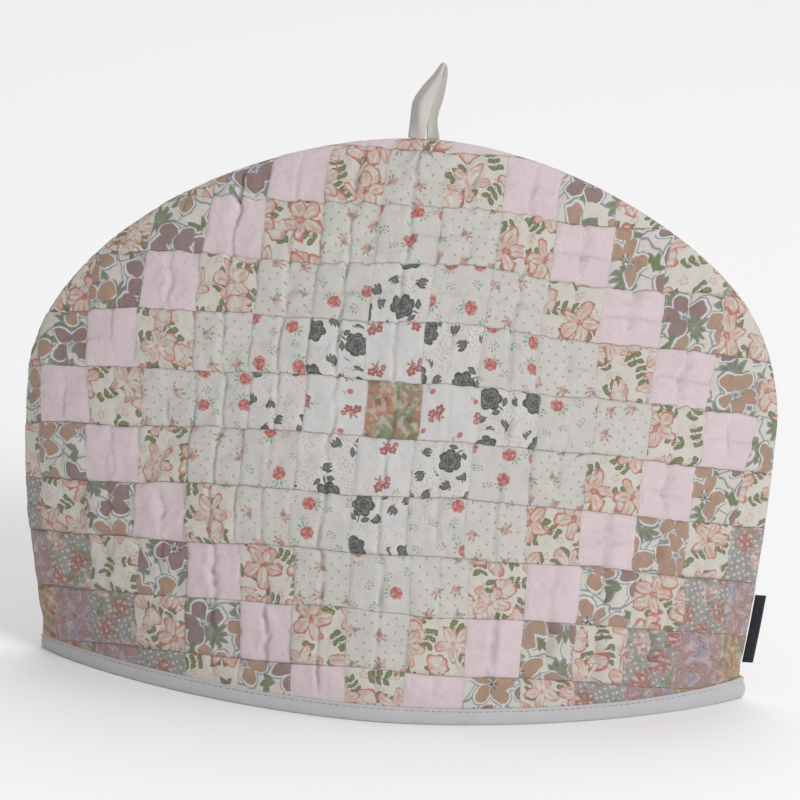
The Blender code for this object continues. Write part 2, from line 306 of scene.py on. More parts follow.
def turn(a, b, c):
    return (b[0] - a[0]) * (c[1] - a[1]) - (b[1] - a[1]) * (c[0] - a[0])


class Thread:
    """A shader socket with Python's arithmetic."""

    def __init__(self, loom, socket):
        self.loom = loom
        self.socket = socket

    def math(self, operation, *others, first=None):
        values = {0: self if first is None else first}
        for place, other in enumerate(others, 1):
            values[place] = other
        return self.loom.node("ShaderNodeMath", {"operation": operation}, values)

    def __add__(self, other):
        return self.math("ADD", other)

    __radd__ = __add__

    def __mul__(self, other):
        return self.math("MULTIPLY", other)

    __rmul__ = __mul__

    def __sub__(self, other):
        return self.math("SUBTRACT", other)

    def __rsub__(self, other):
        return self.math("SUBTRACT", self, first=other)

    def __truediv__(self, other):
        return self.math("DIVIDE", other)

    def __rtruediv__(self, other):
        return self.math("DIVIDE", self, first=other)

    def __pow__(self, other):
        return self.math("POWER", other)

    def __neg__(self):
        return self.math("MULTIPLY", -1)

    def __abs__(self):
        return self.math("ABSOLUTE")

    def __lt__(self, other):
        return self.math("LESS_THAN", other)

    def __gt__(self, other):
        return self.math("GREATER_THAN", other)

    def floor(self):
        return self.math("FLOOR")

    def fract(self):
        return self.math("FRACT")

    def sin(self):
        return self.math("SINE")

    def cos(self):
        return self.math("COSINE")

    def least(self, other):
        return self.math("MINIMUM", other)

    def most(self, other):
        return self.math("MAXIMUM", other)

    def angle_to(self, across):
        return self.math("ARCTAN2", across)

    def soft(self, blur=0.12):
        """0 outside a shape and 1 inside, from the distance in mm inside its edge."""
        limits = {0: self, 1: -blur, 2: blur, 3: 0.0, 4: 1.0}
        return self.loom.node("ShaderNodeMapRange", {"clamp": True}, limits)


class Loom:
    """Weaves one material: makes its nodes and links them."""

    def __init__(self, name):
        self.material = bpy.data.materials.new(name)
        self.material.use_nodes = True
        self.tree = self.material.node_tree
        self.tree.nodes.clear()

    def node(self, kind, settings=None, values=None, out=0):
        made = self.tree.nodes.new(kind)
        for name, value in (settings or {}).items():
            if name == "stops":
                self.set_stops(made.color_ramp, value)
            else:
                setattr(made, name, value)
        for name, value in (values or {}).items():
            if isinstance(value, Thread):
                self.tree.links.new(value.socket, made.inputs[name])
            else:
                made.inputs[name].default_value = value
        return Thread(self, made.outputs[out]) if made.outputs else None

    def set_stops(self, ramp, stops):
        while len(ramp.elements) < len(stops):
            ramp.elements.new(1.0)
        for element, (position, colour) in zip(ramp.elements, stops):
            element.position = position
            element.color = (*colour, 1)

    def pair(self, name):
        """Both values of a UV layer."""
        layer = self.node("ShaderNodeUVMap", {"uv_map": name})
        return [self.node("ShaderNodeSeparateXYZ", {}, {0: layer}, out=k) for k in (0, 1)]

    def joined(self, x, y, z=0.0):
        return self.node("ShaderNodeCombineXYZ", {}, {0: x, 1: y, 2: z})

    def length(self, x, y):
        return self.node("ShaderNodeVectorMath", {"operation": "LENGTH"}, {0: self.joined(x, y)}, out=1)

    def cloud(self, x, y, scale, detail=2.0, z=0.0):
        """Smooth noise about 0.5, its features 1 / scale mm across."""
        values = {"Vector": self.joined(x, y, z), "Scale": scale, "Detail": detail}
        return self.node("ShaderNodeTexNoise", {}, values)

    def warped(self, x, y, reach, amount, seed=0.0):
        """Both coordinates bent by smooth noise, so that repeats look drawn by hand."""
        values = {"Vector": self.joined(x, y, seed), "Scale": 1 / reach, "Detail": 1.0}
        bend = self.node("ShaderNodeTexNoise", {}, values, out=1)
        parts = [self.node("ShaderNodeSeparateColor", {}, {0: bend}, out=k) for k in (0, 1)]
        return x + (parts[0] - 0.5) * (2 * amount), y + (parts[1] - 0.5) * (2 * amount)

    def mix(self, mask, under, over):
        values = {0: mask, 6: colour_of(under), 7: colour_of(over)}
        return self.node("ShaderNodeMix", {"data_type": "RGBA"}, values, out=2)

    def shade(self, colour, amount):
        """A colour made darker or lighter by a varying amount."""
        values = {0: 1.0, 6: colour_of(colour), 7: self.joined(amount, amount, amount)}
        return self.node("ShaderNodeMix", {"data_type": "RGBA", "blend_type": "MULTIPLY"}, values, out=2)

    def finish(self, colour, height, roughness=0.85, depth=0.0003, sheen=0.12):
        bump = self.node("ShaderNodeBump", {}, {"Strength": 1.0, "Distance": depth, "Height": height})
        surface = self.node("ShaderNodeBsdfPrincipled", {}, {
            "Base Color": colour_of(colour), "Roughness": roughness, "Normal": bump,
            "Sheen Weight": sheen, "Specular IOR Level": 0.25,
        })
        self.node("ShaderNodeOutputMaterial", {}, {0: surface})
        return self.material


def colour_of(value):
    return value if isinstance(value, Thread) else (*tuple(value)[:3], 1)


class Motif:
    """One place in a scattered print: local x, y in mm, its polar form and its chances."""

    def __init__(self, loom, x, y, pitch, seed, jitter=0.3, spin=TAU, turned=0.0):
        c, s = math.cos(turned), math.sin(turned)
        across = (x * c + y * s) * (1 / pitch) + seed * 7.31
        upward = (y * c - x * s) * (1 / pitch) + seed * 3.17
        column, row = across.floor(), upward.floor()
        cell = {"Vector": loom.joined(column, row, float(seed))}
        chances = loom.node("ShaderNodeTexWhiteNoise", {"noise_dimensions": "3D"}, cell, out=1)
        parts = [loom.node("ShaderNodeSeparateColor", {}, {0: chances}, out=k) for k in range(3)]
        self.chance, self.other = parts[2], (parts[2] * 17.3).fract()
        px = (across - column - 0.5 - (parts[0] - 0.5) * jitter) * pitch
        py = (upward - row - 0.5 - (parts[1] - 0.5) * jitter) * pitch
        if spin:
            facing = self.other * spin
            fc, fs = facing.cos(), facing.sin()
            px, py = px * fc + py * fs, py * fc - px * fs
        self.loom, self.x, self.y = loom, px, py
        self.r = loom.length(px, py)
        self.bearing = py.angle_to(px)

    def disc(self, x, y, radius):
        return radius - self.loom.length(self.x - x, self.y - y)

    def lobes(self, count, inner, outer, sharp=1.0):
        """A flower with rounded petals."""
        lobe = abs((self.bearing * (count / 2)).cos()) ** sharp
        return lobe * (outer - inner) + inner - self.r

    def petals(self, count, centre, long, wide, missing=0.0):
        """Separate oval petals round the middle, as the distance inside their edges."""
        around = self.bearing * (count / TAU) + 0.5
        sector = (around.fract() - 0.5) * (TAU / count)
        u = (self.r * sector.cos() - centre) * (1 / long)
        v = self.r * sector.sin() * (1 / wide)
        inside = (1 - self.loom.length(u, v)) * min(long, wide)
        if missing:
            fate = (around.floor() * 0.377 + self.chance * 5.3).fract()
            inside = inside - (fate < missing) * 20.0
        return inside

    def leaf(self, x, y, facing, long, wide):
        c, s = math.cos(facing), math.sin(facing)
        u = (self.x - x) * c + (self.y - y) * s
        v = (self.y - y) * c - (self.x - x) * s
        u = u * (2 / long)
        return (1 - u * u) * (wide / 2) - abs(v)

    def spray(self, start, end, gap, long, wide):
        """Pairs of leaves along the local x axis."""
        step = ((self.x - start) * (1 / gap)).fract() * gap - gap * 0.35
        c, s = math.cos(0.85), math.sin(0.85)
        out = abs(self.y) - long * 0.38
        u = (step * c + out * s) * (2 / long)
        v = out * c - step * s
        inside = (1 - u * u) * (wide / 2) - abs(v)
        return inside.least(self.x - start).least(end - self.x)

    def swirl(self, pitch, line):
        """A spiral line, such as the folds of a rose."""
        band = (self.r * (1 / pitch) + self.bearing * (1 / TAU)).fract() - 0.5
        return line - abs(band) * pitch


def plain_pink(loom, x, y, c):
    slub = loom.cloud(x * 0.12, y * 2.4, 1.0, 2.0)
    cross = loom.cloud(x * 2.4, y * 0.12, 1.0, 2.0, 5.0)
    return loom.shade(loom.mix((slub + cross - 0.75) * 0.8, c.pink, c.white), slub * 0.08 + 0.96)


def small_rose(loom, under, rose, c, radius):
    """A blotchy red rose of many small petals."""
    head = rose.lobes(7, radius * 0.8, radius, 0.6)
    fleck = loom.cloud(rose.x, rose.y, 0.9, 2.0, 3.0)
    colour = loom.mix(head.soft(0.25) * 0.92, under, c.red)
    colour = loom.mix((fleck - 0.5).soft(0.06) * head.soft(0.2) * 0.55, colour, c.peach)
    folds = rose.swirl(radius * 0.42, 0.16).soft(0.15) * (head - 0.2).soft(0.2)
    return loom.mix(folds * 0.6, colour, c.deep_red)


def roses_on_cream(loom, x, y, c):
    x, y = loom.warped(x, y, 4.0, 0.5)
    rose = Motif(loom, x, y, 17.5, 1, jitter=0.5)
    ring = Motif(loom, x, y, 9.4, 2, jitter=0.3, turned=0.35)
    free = (rose.r - 5.2).soft(0.2).most(rose.chance < 0.14)
    dots = ring.petals(5, 1.2, 0.33, 0.33).soft(0.14) * free
    blades = ring.leaf(1.1, -1.9, 0.5, 2.0, 0.7).most(ring.leaf(-0.5, -2.3, 1.9, 1.7, 0.6))
    colour = loom.mix(blades.soft(0.16) * free * 0.9, c.cream, c.emerald)
    colour = loom.mix(dots * 0.75, colour, c.brown)
    colour = loom.mix(ring.disc(0.0, 0.0, 0.34).soft(0.12) * free * 0.7, colour, c.olive)
    spray = rose.leaf(3.9, -1.5, -0.3, 2.6, 0.9).most(rose.leaf(3.1, -3.0, -1.1, 2.4, 0.85))
    spray = spray.most(rose.leaf(1.6, -3.7, -2.0, 2.0, 0.7)).most(rose.leaf(4.3, 0.2, 0.6, 1.6, 0.6))
    kept = rose.chance > 0.14
    colour = loom.mix(spray.soft(0.18) * kept * 0.85, colour, c.emerald)
    whole = small_rose(loom, colour, rose, c, 3.0)
    return loom.mix(kept, colour, whole)


def dots_and_sprigs(loom, x, y, c):
    dot = Motif(loom, x, y, 4.4, 3, jitter=0.06, spin=0, turned=math.pi / 4)
    x, y = loom.warped(x, y, 2.4, 0.5)
    posy = Motif(loom, x, y, 12.6, 4, jitter=0.4)
    shown = posy.chance > 0.14
    clear = 1 - (3.8 - posy.r).soft(0.3) * shown
    colour = loom.mix((0.5 - dot.r).soft(0.18) * 0.62 * clear, c.cream, c.olive)
    blades = posy.leaf(-2.1, -1.5, 0.7, 2.4, 1.0).most(posy.leaf(-0.6, -2.5, 1.4, 2.0, 0.8))
    blades = blades.most(posy.leaf(2.3, -1.3, -0.6, 1.9, 0.8)).most(posy.leaf(-2.4, 0.5, -0.5, 1.7, 0.7))
    colour = loom.mix(blades.soft(0.2) * shown * 0.85, colour, c.olive)
    head = posy.lobes(5, 1.3, 2.1, 0.8)
    colour = loom.mix(head.soft(0.25) * shown * 0.85, colour, c.peach)
    blotch = (loom.cloud(x, y, 0.7, 1.0, 2.0) - 0.5).soft(0.08) * head.soft(0.3) * shown
    colour = loom.mix(blotch * 0.6, colour, c.coral)
    accent = posy.disc(0.9, -0.6, 0.95).soft(0.25) * shown
    return loom.mix(accent * 0.75, colour, c.slate)


def ink_drawn(loom, under, inside, shown, c, line=0.3):
    """A charcoal shape with a darker drawn edge."""
    colour = loom.mix(inside.soft(0.18) * shown, under, c.charcoal)
    return loom.mix((line - abs(inside - line)).soft(0.14) * shown * 0.8, colour, c.ink)


def grey_roses(loom, x, y, c):
    speck = Motif(loom, x, y, 1.5, 5, jitter=0.9, spin=0)
    x, y = loom.warped(x, y, 3.2, 0.7)
    rose = Motif(loom, x, y, 19.5, 6, jitter=0.25)
    tulip = Motif(loom, x, y, 8.2, 7, jitter=0.25, turned=0.5)
    posy = Motif(loom, x, y, 7.4, 8, jitter=0.3, turned=1.1)
    held = rose.chance > 0.2
    drift = (loom.cloud(x, y, 0.075, 1.0, 3.0) - 0.47).soft(0.03)
    free = 1 - (7.6 - rose.r).soft(0.3) * held
    specks = (0.3 - speck.r).soft(0.16) * drift * free
    colour = loom.mix(specks * 0.75, c.white, c.speckle)
    rings = posy.petals(6, 1.2, 0.28, 0.28).soft(0.14) * (1 - drift) * free * (posy.chance > 0.35)
    colour = loom.mix(rings * 0.6, colour, c.brown)
    cup = tulip.disc(0.0, 0.2, 2.2).least(0.5 - tulip.y + abs((tulip.x * 2.0).cos()) * 1.5)
    stem = tulip.leaf(0.0, -2.5, math.pi / 2, 1.8, 0.4).most(tulip.leaf(1.1, -2.0, 0.9, 1.8, 0.6))
    colour = ink_drawn(loom, colour, cup.most(stem), free * (tulip.chance > 0.36), c, 0.25)
    stalk = rose.leaf(-1.0, -5.9, 1.3, 3.6, 0.6).most(rose.leaf(2.2, -6.0, 0.3, 4.2, 2.2))
    stalk = stalk.most(rose.leaf(-3.6, -5.2, 2.4, 4.0, 2.0))
    colour = ink_drawn(loom, colour, stalk, held, c, 0.22)
    head = rose.lobes(6, 3.9, 5.2, 0.6)
    colour = ink_drawn(loom, colour, head, held, c, 0.35)
    folds = rose.swirl(1.55, 0.22).soft(0.16) * (head - 0.3).soft(0.2) * held
    colour = loom.mix(folds * 0.85, colour, c.ink)
    petals = (0.24 - abs(rose.petals(5, 2.7, 2.0, 1.6))).soft(0.16) * (head - 0.2).soft(0.2) * held
    colour = loom.mix(petals * 0.8, colour, c.ink)
    glints = (loom.cloud(rose.x, rose.y, 0.8, 1.0, 8.0) - 0.6).soft(0.05) * (head - 0.5).soft(0.3)
    return loom.mix(glints * held * 0.4, colour, c.garden)


def sprigs_on_white(loom, x, y, c):
    x, y = loom.warped(x, y, 3.0, 0.6)
    posy = Motif(loom, x, y, 17.5, 9, jitter=0.3, spin=1.4)
    bud = Motif(loom, x, y, 14.0, 10, jitter=0.35, spin=1.5, turned=0.6)
    away = (posy.r - 6.4).soft(0.3) * (bud.chance > 0.5)
    cup = bud.disc(0.0, 0.6, 1.3).least(1.4 - bud.y + abs((bud.x * 2.8).sin()) * 0.9).soft(0.2)
    stem = bud.leaf(0.0, -1.9, math.pi / 2, 3.0, 0.35).most(bud.leaf(0.9, -1.7, 0.7, 1.7, 0.5))
    colour = loom.mix(stem.soft(0.16) * away * 0.8, c.white, c.olive)
    colour = loom.mix(cup * away * 0.85, colour, c.red)
    blades = posy.leaf(0.7, 3.0, 1.2, 2.8, 1.0).most(posy.leaf(-1.2, 3.0, 2.2, 2.4, 0.9))
    blades = blades.most(posy.leaf(3.3, 1.8, 0.5, 2.4, 0.9)).most(posy.leaf(0.0, 1.5, 1.57, 2.4, 0.4))
    colour = loom.mix(blades.soft(0.16) * 0.9, colour, c.olive)
    for across, up, radius in ((-1.6, -0.4, 2.1), (1.9, -1.0, 1.8), (3.7, 1.2, 1.3), (0.4, 1.5, 1.2)):
        px, py = posy.x - across, posy.y - up
        lobe = abs((py.angle_to(px) * 2.5).cos()) * (radius * 0.34) + radius * 0.7
        inside = lobe - loom.length(px, py)
        colour = loom.mix(inside.soft(0.22) * 0.9, colour, c.deep_red if radius > 1.5 else c.red)
        petals = (loom.cloud(posy.x, posy.y, 1.0, 1.0, up) - 0.5).soft(0.08) * inside.soft(0.22)
        colour = loom.mix(petals * 0.6, colour, c.thrift)
        colour = loom.mix((inside - radius * 0.62).soft(0.2) * 0.7, colour, c.peach)
    return colour


def meadow(loom, x, y, c):
    x, y = loom.warped(x, y, 2.2, 0.8)
    wash = {0: loom.cloud(x, y * 0.8, 0.085, 2.0, 9.0)}
    stops = [(0.38, c.sage[:]), (0.46, c.apricot[:]), (0.52, c.thrift[:]), (0.6, c.apricot[:]), (0.68, c.sage[:])]
    colour = loom.node("ShaderNodeValToRGB", {"stops": stops}, wash)
    dusk = (loom.cloud(x, y, 0.13, 2.0, 7.0) - 0.58).soft(0.04)
    colour = loom.mix(dusk * 0.75, colour, c.brown)
    leafy = Motif(loom, x, y, 9.0, 11, jitter=0.4)
    blades = leafy.leaf(0.0, 0.0, 0.0, 5.6, 1.7).most(leafy.leaf(-0.6, 1.6, 0.9, 4.2, 1.4))
    colour = loom.mix(blades.soft(0.5) * 0.65, colour, c.leaf)
    blush = Motif(loom, x, y, 10.5, 12, jitter=0.4, turned=0.7)
    colour = loom.mix(blush.lobes(5, 1.9, 3.4).soft(0.7) * 0.6, colour, c.thrift)
    pale = (loom.cloud(x, y, 0.3, 2.0, 4.0) - 0.56).soft(0.05)
    return loom.mix(pale * 0.45, colour, c.cream)


def draw_petals(loom, under, inside, motif, kept, c):
    """Pale petals with an uneven coral outline, brushed lines and a soft wash."""
    patchy = loom.cloud(motif.x, motif.y, 0.2, 1.0, 6.0)
    inside = inside + (patchy - 0.5) * 3.4
    fill = loom.mix((patchy - 0.5).soft(0.1), c.ivory, c.peach)
    colour = loom.mix(inside.soft(0.16) * kept, under, fill)
    strokes = ((motif.bearing * 19 + patchy * 14).sin() - 0.1).soft(0.6)
    strokes = strokes * (2.4 - inside).soft(1.2) * inside.soft(0.2)
    colour = loom.mix(strokes * kept * 0.34, colour, c.coral)
    line = (0.29 - abs(inside - 0.1)).soft(0.18) * kept
    return loom.mix(line * (patchy * 0.9 + 0.5), colour, c.coral)


def leafy_spray(loom, under, spray, start, end, gap, long, wide, c):
    """Olive leaves in pairs on a stem, with drawn edges."""
    blades = spray.spray(start, end, gap, long, wide)
    stalk = spray.leaf((start + end) / 2, 0.0, 0.0, (end - start) * 1.1, 0.5)
    colour = loom.mix(blades.most(stalk).soft(0.2), under, c.leaf)
    colour = loom.mix((0.15 - abs(blades - (wide / 2 - 0.2))).soft(0.2) * 0.5, colour, c.sage)
    return loom.mix((0.17 - abs(blades - 0.1)).soft(0.16) * 0.75, colour, c.dark_leaf)


def coral_flowers(loom, x, y, c):
    x, y = loom.warped(x, y, 7.0, 1.9)
    bloom = Motif(loom, x, y, 20.5, 13, jitter=0.2)
    tulip = Motif(loom, x, y, 17.5, 14, jitter=0.25, turned=0.62)
    spray = Motif(loom, x, y, 12.6, 15, jitter=0.3, turned=0.31)
    faint = Motif(loom, x, y, 9.5, 16, jitter=0.3, turned=0.9)
    colour = loom.mix(faint.petals(5, 1.4, 0.6, 0.55).soft(0.3) * 0.4, c.ivory, c.coral)
    colour = leafy_spray(loom, colour, spray, -4.6, 4.4, 3.3, 3.7, 2.1, c)
    cup = tulip.disc(0.0, 0.0, 5.4).least(3.2 - tulip.y + abs((tulip.x * 1.1).sin()) * 2.2)
    cup = cup.least(4.6 - abs(tulip.x) * 1.2)
    kept = tulip.chance > 0.3
    colour = draw_petals(loom, colour, cup, tulip, kept, c)
    scallop = abs(tulip.y + 0.6 - abs((tulip.x * 0.9).cos()) * 1.6)
    colour = loom.mix((0.2 - scallop).soft(0.16) * (cup - 0.3).soft(0.3) * kept * 0.7, colour, c.coral)
    pointed = bloom.petals(5, 5.0, 4.6, 2.9)
    round_star = bloom.lobes(5, 3.0, 8.6, 1.2)
    which = bloom.other > 0.55
    star = pointed * which + round_star * (1 - which)
    kept = bloom.chance > 0.15
    colour = draw_petals(loom, colour, star, bloom, kept, c)
    veins = bloom.petals(5, 4.8, 2.0, 0.3).most(bloom.petals(10, 4.2, 1.2, 0.2)).soft(0.16)
    colour = loom.mix(veins * kept * 0.55, colour, c.coral)
    valley = (0.06 - abs((bloom.bearing * 2.5).cos())).soft(0.04) * (star + 0.2).soft(0.2)
    colour = loom.mix(valley * kept * (bloom.r - 1.4).soft(0.3) * 0.75, colour, c.coral)
    return loom.mix((1.1 - bloom.r).soft(0.5) * kept * 0.6, colour, c.coral)


def tan_flowers(loom, x, y, c):
    x, y = loom.warped(x, y, 8.0, 2.2)
    bloom = Motif(loom, x, y, 21.0, 17, jitter=0.2)
    daisy = Motif(loom, x, y, 15.0, 18, jitter=0.25, turned=0.7)
    vine = abs((((y + (x * 0.21).sin() * 3.2) * (1 / 14.0)).fract() - 0.5) * 14.0)
    colour = loom.mix((0.5 - vine).soft(0.2) * 0.85, c.ivory, c.slate)
    other = abs((((x - (y * 0.19).sin() * 3.0) * (1 / 17.0)).fract() - 0.5) * 17.0)
    colour = loom.mix((0.38 - other).soft(0.2) * 0.75, colour, c.slate)
    rayed = daisy.other > 0.55
    blades = daisy.leaf(0.0, 0.0, 0.2, 7.5, 3.0).most(daisy.leaf(1.2, 2.9, 1.0, 5.4, 2.3))
    blades = blades.most(daisy.leaf(-1.0, -2.8, -0.8, 5.4, 2.2))
    blades = daisy.petals(10, 3.9, 2.7, 1.0) * rayed + blades * (1 - rayed)
    colour = loom.mix((blades + 0.34).soft(0.16), colour, c.slate)
    green = loom.mix(daisy.chance > 0.5, c.leaf, c.sage)
    colour = loom.mix(blades.soft(0.16), colour, loom.mix(rayed, green, c.sage))
    colour = loom.mix((0.14 - abs(blades - 0.7)).soft(0.16) * 0.5, colour, c.dark_leaf)
    uneven = loom.cloud(bloom.x, bloom.y, 0.15, 1.0, 3.0) - 0.5
    petal = bloom.petals(5, 6.1, 4.4, 3.5, missing=0.12) + uneven * 3.6
    gap = (petal + 0.8).soft(0.16)
    colour = loom.mix((petal + 1.25).soft(0.18), colour, c.slate)
    colour = loom.mix(gap, colour, c.white)
    tone = loom.mix(bloom.chance > 0.6, c.tan, c.mauve)
    washy = loom.cloud(x, y * 0.4, 0.6, 2.0, 6.0) * 0.3 + 0.85
    colour = loom.mix(petal.soft(0.16), colour, loom.shade(tone, washy))
    vein = (0.12 - abs(loom.cloud(x, y, 0.22, 1.0, 14.0) - 0.5) * 6).soft(0.12) * (petal - 0.5).soft(0.3)
    colour = loom.mix(vein * 0.3, colour, c.slate)
    seeds = bloom.petals(8, 1.9, 1.2, 0.35).most(bloom.disc(0.0, 0.0, 0.8)).soft(0.2)
    return loom.mix(seeds * 0.8, colour, loom.mix(bloom.other > 0.5, c.slate, c.ink))


def grey_garden(loom, x, y, c):
    speck = Motif(loom, x, y, 2.9, 20, jitter=0.35, spin=0, turned=0.4)
    x, y = loom.warped(x, y, 3.5, 0.8)
    flower = Motif(loom, x, y, 13.5, 21, jitter=0.25, turned=0.8)
    leafy = Motif(loom, x, y, 11.0, 19, jitter=0.3)
    mottled = loom.cloud(x, y, 0.25, 3.0) * 0.4 + 0.8
    colour = loom.shade(c.garden, mottled)
    colour = loom.mix((0.62 - speck.r).soft(0.16) * 0.75, colour, c.white)
    blades = leafy.spray(-3.8, 3.4, 2.5, 2.6, 1.1)
    colour = loom.mix(blades.soft(0.2) * 0.7, colour, c.sage)
    ragged = (loom.cloud(flower.x, flower.y, 0.5, 2.0, 3.0) - 0.5) * 3.4
    head = flower.lobes(7, 3.7, 5.7, 0.8) + ragged
    kept = flower.chance > 0.25
    bloom = loom.mix(flower.other > 0.55, c.peach, c.thrift)
    colour = loom.mix(head.soft(0.9) * kept * 0.8, colour, bloom)
    blot = (loom.cloud(flower.x, flower.y, 0.5, 2.0, 8.0) - 0.53).soft(0.07) * head.soft(0.6) * kept
    colour = loom.mix(blot * 0.6, colour, c.crimson)
    glint = (loom.cloud(flower.x, flower.y, 0.6, 2.0, 12.0) - 0.57).soft(0.05) * head.soft(0.6) * kept
    colour = loom.mix(glint * 0.7, colour, c.white)
    shade = (loom.cloud(x, y, 0.16, 2.0, 15.0) - 0.62).soft(0.03)
    return loom.mix(shade * 0.6, colour, c.leaf)


def rosewood_lines(loom, x, y, c):
    x, y = loom.warped(x, y, 4.0, 1.1)
    bloom = Motif(loom, x, y, 15.0, 22, jitter=0.2)
    small = Motif(loom, x, y, 10.0, 23, jitter=0.25, turned=0.7)
    blob = (loom.cloud(x, y, 0.11, 1.0, 2.0) - 0.6).soft(0.03)
    colour = loom.shade(c.rosewood, loom.cloud(x, y, 0.3, 2.0, 5.0) * 0.25 + 0.88)
    marble = (loom.cloud(x, y, 0.22, 2.0, 9.0) - 0.56).soft(0.05)
    colour = loom.mix(marble * 0.35, colour, c.white)
    colour = loom.mix(blob * 0.7, colour, c.lilac)
    colour = loom.mix((0.3 - abs(blob - 0.5)).soft(0.3) * 0.4, colour, c.white)
    outline = (0.22 - abs(bloom.lobes(6, 3.0, 6.0, 0.8))).soft(0.16)
    inner = (0.18 - abs(bloom.lobes(6, 1.4, 3.6, 0.8))).soft(0.16)
    colour = loom.mix(outline.most(inner) * 0.75, colour, c.crimson)
    leafy = (0.18 - abs(small.spray(-3.6, 3.4, 2.4, 2.8, 1.3))).soft(0.14)
    return loom.mix(leafy * (bloom.r - 6.3).soft(0.2) * 0.65, colour, c.crimson)


RINGS = (
    meadow, sprigs_on_white, grey_roses, roses_on_cream, dots_and_sprigs, coral_flowers,
    plain_pink, tan_flowers, coral_flowers, grey_garden, rosewood_lines, meadow,
)


def weave_height(loom, x, y, pitch=0.42):
    """Over and under of a plain weave, with threads that swell and thin."""
    warp = (x * (TAU / pitch)).sin()
    weft = (y * (TAU / pitch)).sin()
    slub = loom.cloud(x * 0.3, y * 3.0, 1.0, 2.0) + loom.cloud(x * 3.0, y * 0.3, 1.0, 2.0, 4.0)
    return warp * weft * 0.25 + slub * 0.9


def patch_material(print_name, paint, cloths):
    """A printed cotton square: print, faded weave, painted shade along its seams and painted highlights on tucks
    beside the side seams.
    """
    loom = Loom(print_name)
    x, y = loom.pair("cloth")
    u, v = loom.pair("square")
    colour = paint(loom, x, y, cloths)
    worn = loom.cloud(x, y, 0.09, 3.0, 1.5)
    thread = loom.cloud(x * 0.4, y * 5.0, 1.0, 1.0, 2.5) + loom.cloud(x * 5.0, y * 0.4, 1.0, 1.0, 6.5)
    colour = loom.shade(colour, worn * 0.14 + thread * 0.14 + 0.81)
    side = cloths.id_data.cosy_dome.patch / MM
    to_side = u.least(1 - u) * side
    to_row = v.least(1 - v) * side
    uneven = loom.cloud(x, y, 0.22, 2.0, 8.5)
    # Painted shade: a dark line along each seam stands in for the shadow in its ditch, darker along the rows than at
    # the sides.
    colour = loom.mix((0.16 - to_side).soft(0.16) * (uneven * 1.0 - 0.34), colour, cloths.seam)
    colour = loom.mix((0.24 - to_row).soft(0.16) * (uneven * 1.5 - 0.25), colour, cloths.seam)
    # Painted highlights: pale streaks on the small tucks beside the side seams, where they catch the light.
    tuck_highlights = ((v * 11.0 + uneven * 4).fract() - 0.45).soft(0.15) * (0.16 - abs(to_side - 0.5)).soft(0.14)
    colour = loom.mix(tuck_highlights * 0.35, colour, cloths.white)
    crinkle = loom.cloud(x, y, 0.3, 2.0, 11.0)
    return loom.finish(colour, weave_height(loom, x, y) + crinkle * 4.0, depth=0.0002)


def plain_material(name, colour, pitch=0.45, roughness=0.85, depth=0.0003, mottle=0.12, sheen=0.12):
    """Plain woven cloth measured on its own surface."""
    loom = Loom(name)
    x, y = loom.pair("cloth")
    worn = loom.cloud(x, y, 0.1, 3.0) * mottle + loom.cloud(x * 0.5, y * 4.0, 1.0, 1.0, 2.0) * 0.08
    colour = loom.shade(tuple(colour), worn + (0.96 - mottle / 2))
    return loom.finish(colour, weave_height(loom, x, y, pitch), roughness=roughness, depth=depth, sheen=sheen)


def seam_lines(count, centre, side, parts):
    start = centre - count * side / 2
    lines = [start + (k + part) * side for k in range(count) for part in parts]
    return lines + [start + count * side]


STRAY_SEED = 1
COLUMNS = 15
ROWS = 11
LINES_ACROSS = (
    0.0, 0.028, 0.07, 0.13, 0.21, 0.3, 0.37, 0.42, 0.455, 0.485, 0.515, 0.545, 0.58, 0.63, 0.7, 0.79, 0.87,
    0.93, 0.972,
)
LINES_UP = (0.0, 0.025, 0.06, 0.12, 0.19, 0.26, 0.33, 0.4, 0.46, 0.5, 0.54, 0.6, 0.67, 0.74, 0.81, 0.88, 0.94, 0.975)


def lay_flat(bm, dome):
    """The panel's cloth lying flat, cut to its outline, with lines on every seam."""
    s = dome.s
    across = seam_lines(COLUMNS, s.centre_along, s.patch, LINES_ACROSS)
    upward = seam_lines(ROWS, s.centre_climb, s.patch, LINES_UP)
    wide, tall = len(across) - 1, len(upward) - 1
    bmesh.ops.create_grid(bm, x_segments=wide, y_segments=tall, size=0.5)
    for v in bm.verts:
        v.co = (across[round((v.co.x + 0.5) * wide)], upward[round((v.co.y + 0.5) * tall)], 0)
    outline = dome.outline(64)
    for start, end in zip(outline, outline[1:] + outline[:1]):
        outward = Vector((end[1] - start[1], start[0] - end[0], 0)).normalized()
        origin = Vector((*start, 0))
        beyond = [f for f in bm.faces if (f.calc_center_median() - origin).dot(outward) > s.patch * 0.2]
        bmesh.ops.delete(bm, geom=beyond, context="FACES")
        near = [f for f in bm.faces if (f.calc_center_median() - origin).dot(outward) > -s.patch * 0.2]
        geometry = list({e for f in near for e in (*f.verts, *f.edges)}) + near
        bmesh.ops.bisect_plane(bm, geom=geometry, dist=1e-7, plane_co=origin, plane_no=outward,
                               clear_outer=True)
    bmesh.ops.remove_doubles(bm, verts=bm.verts[:], dist=0.00018)


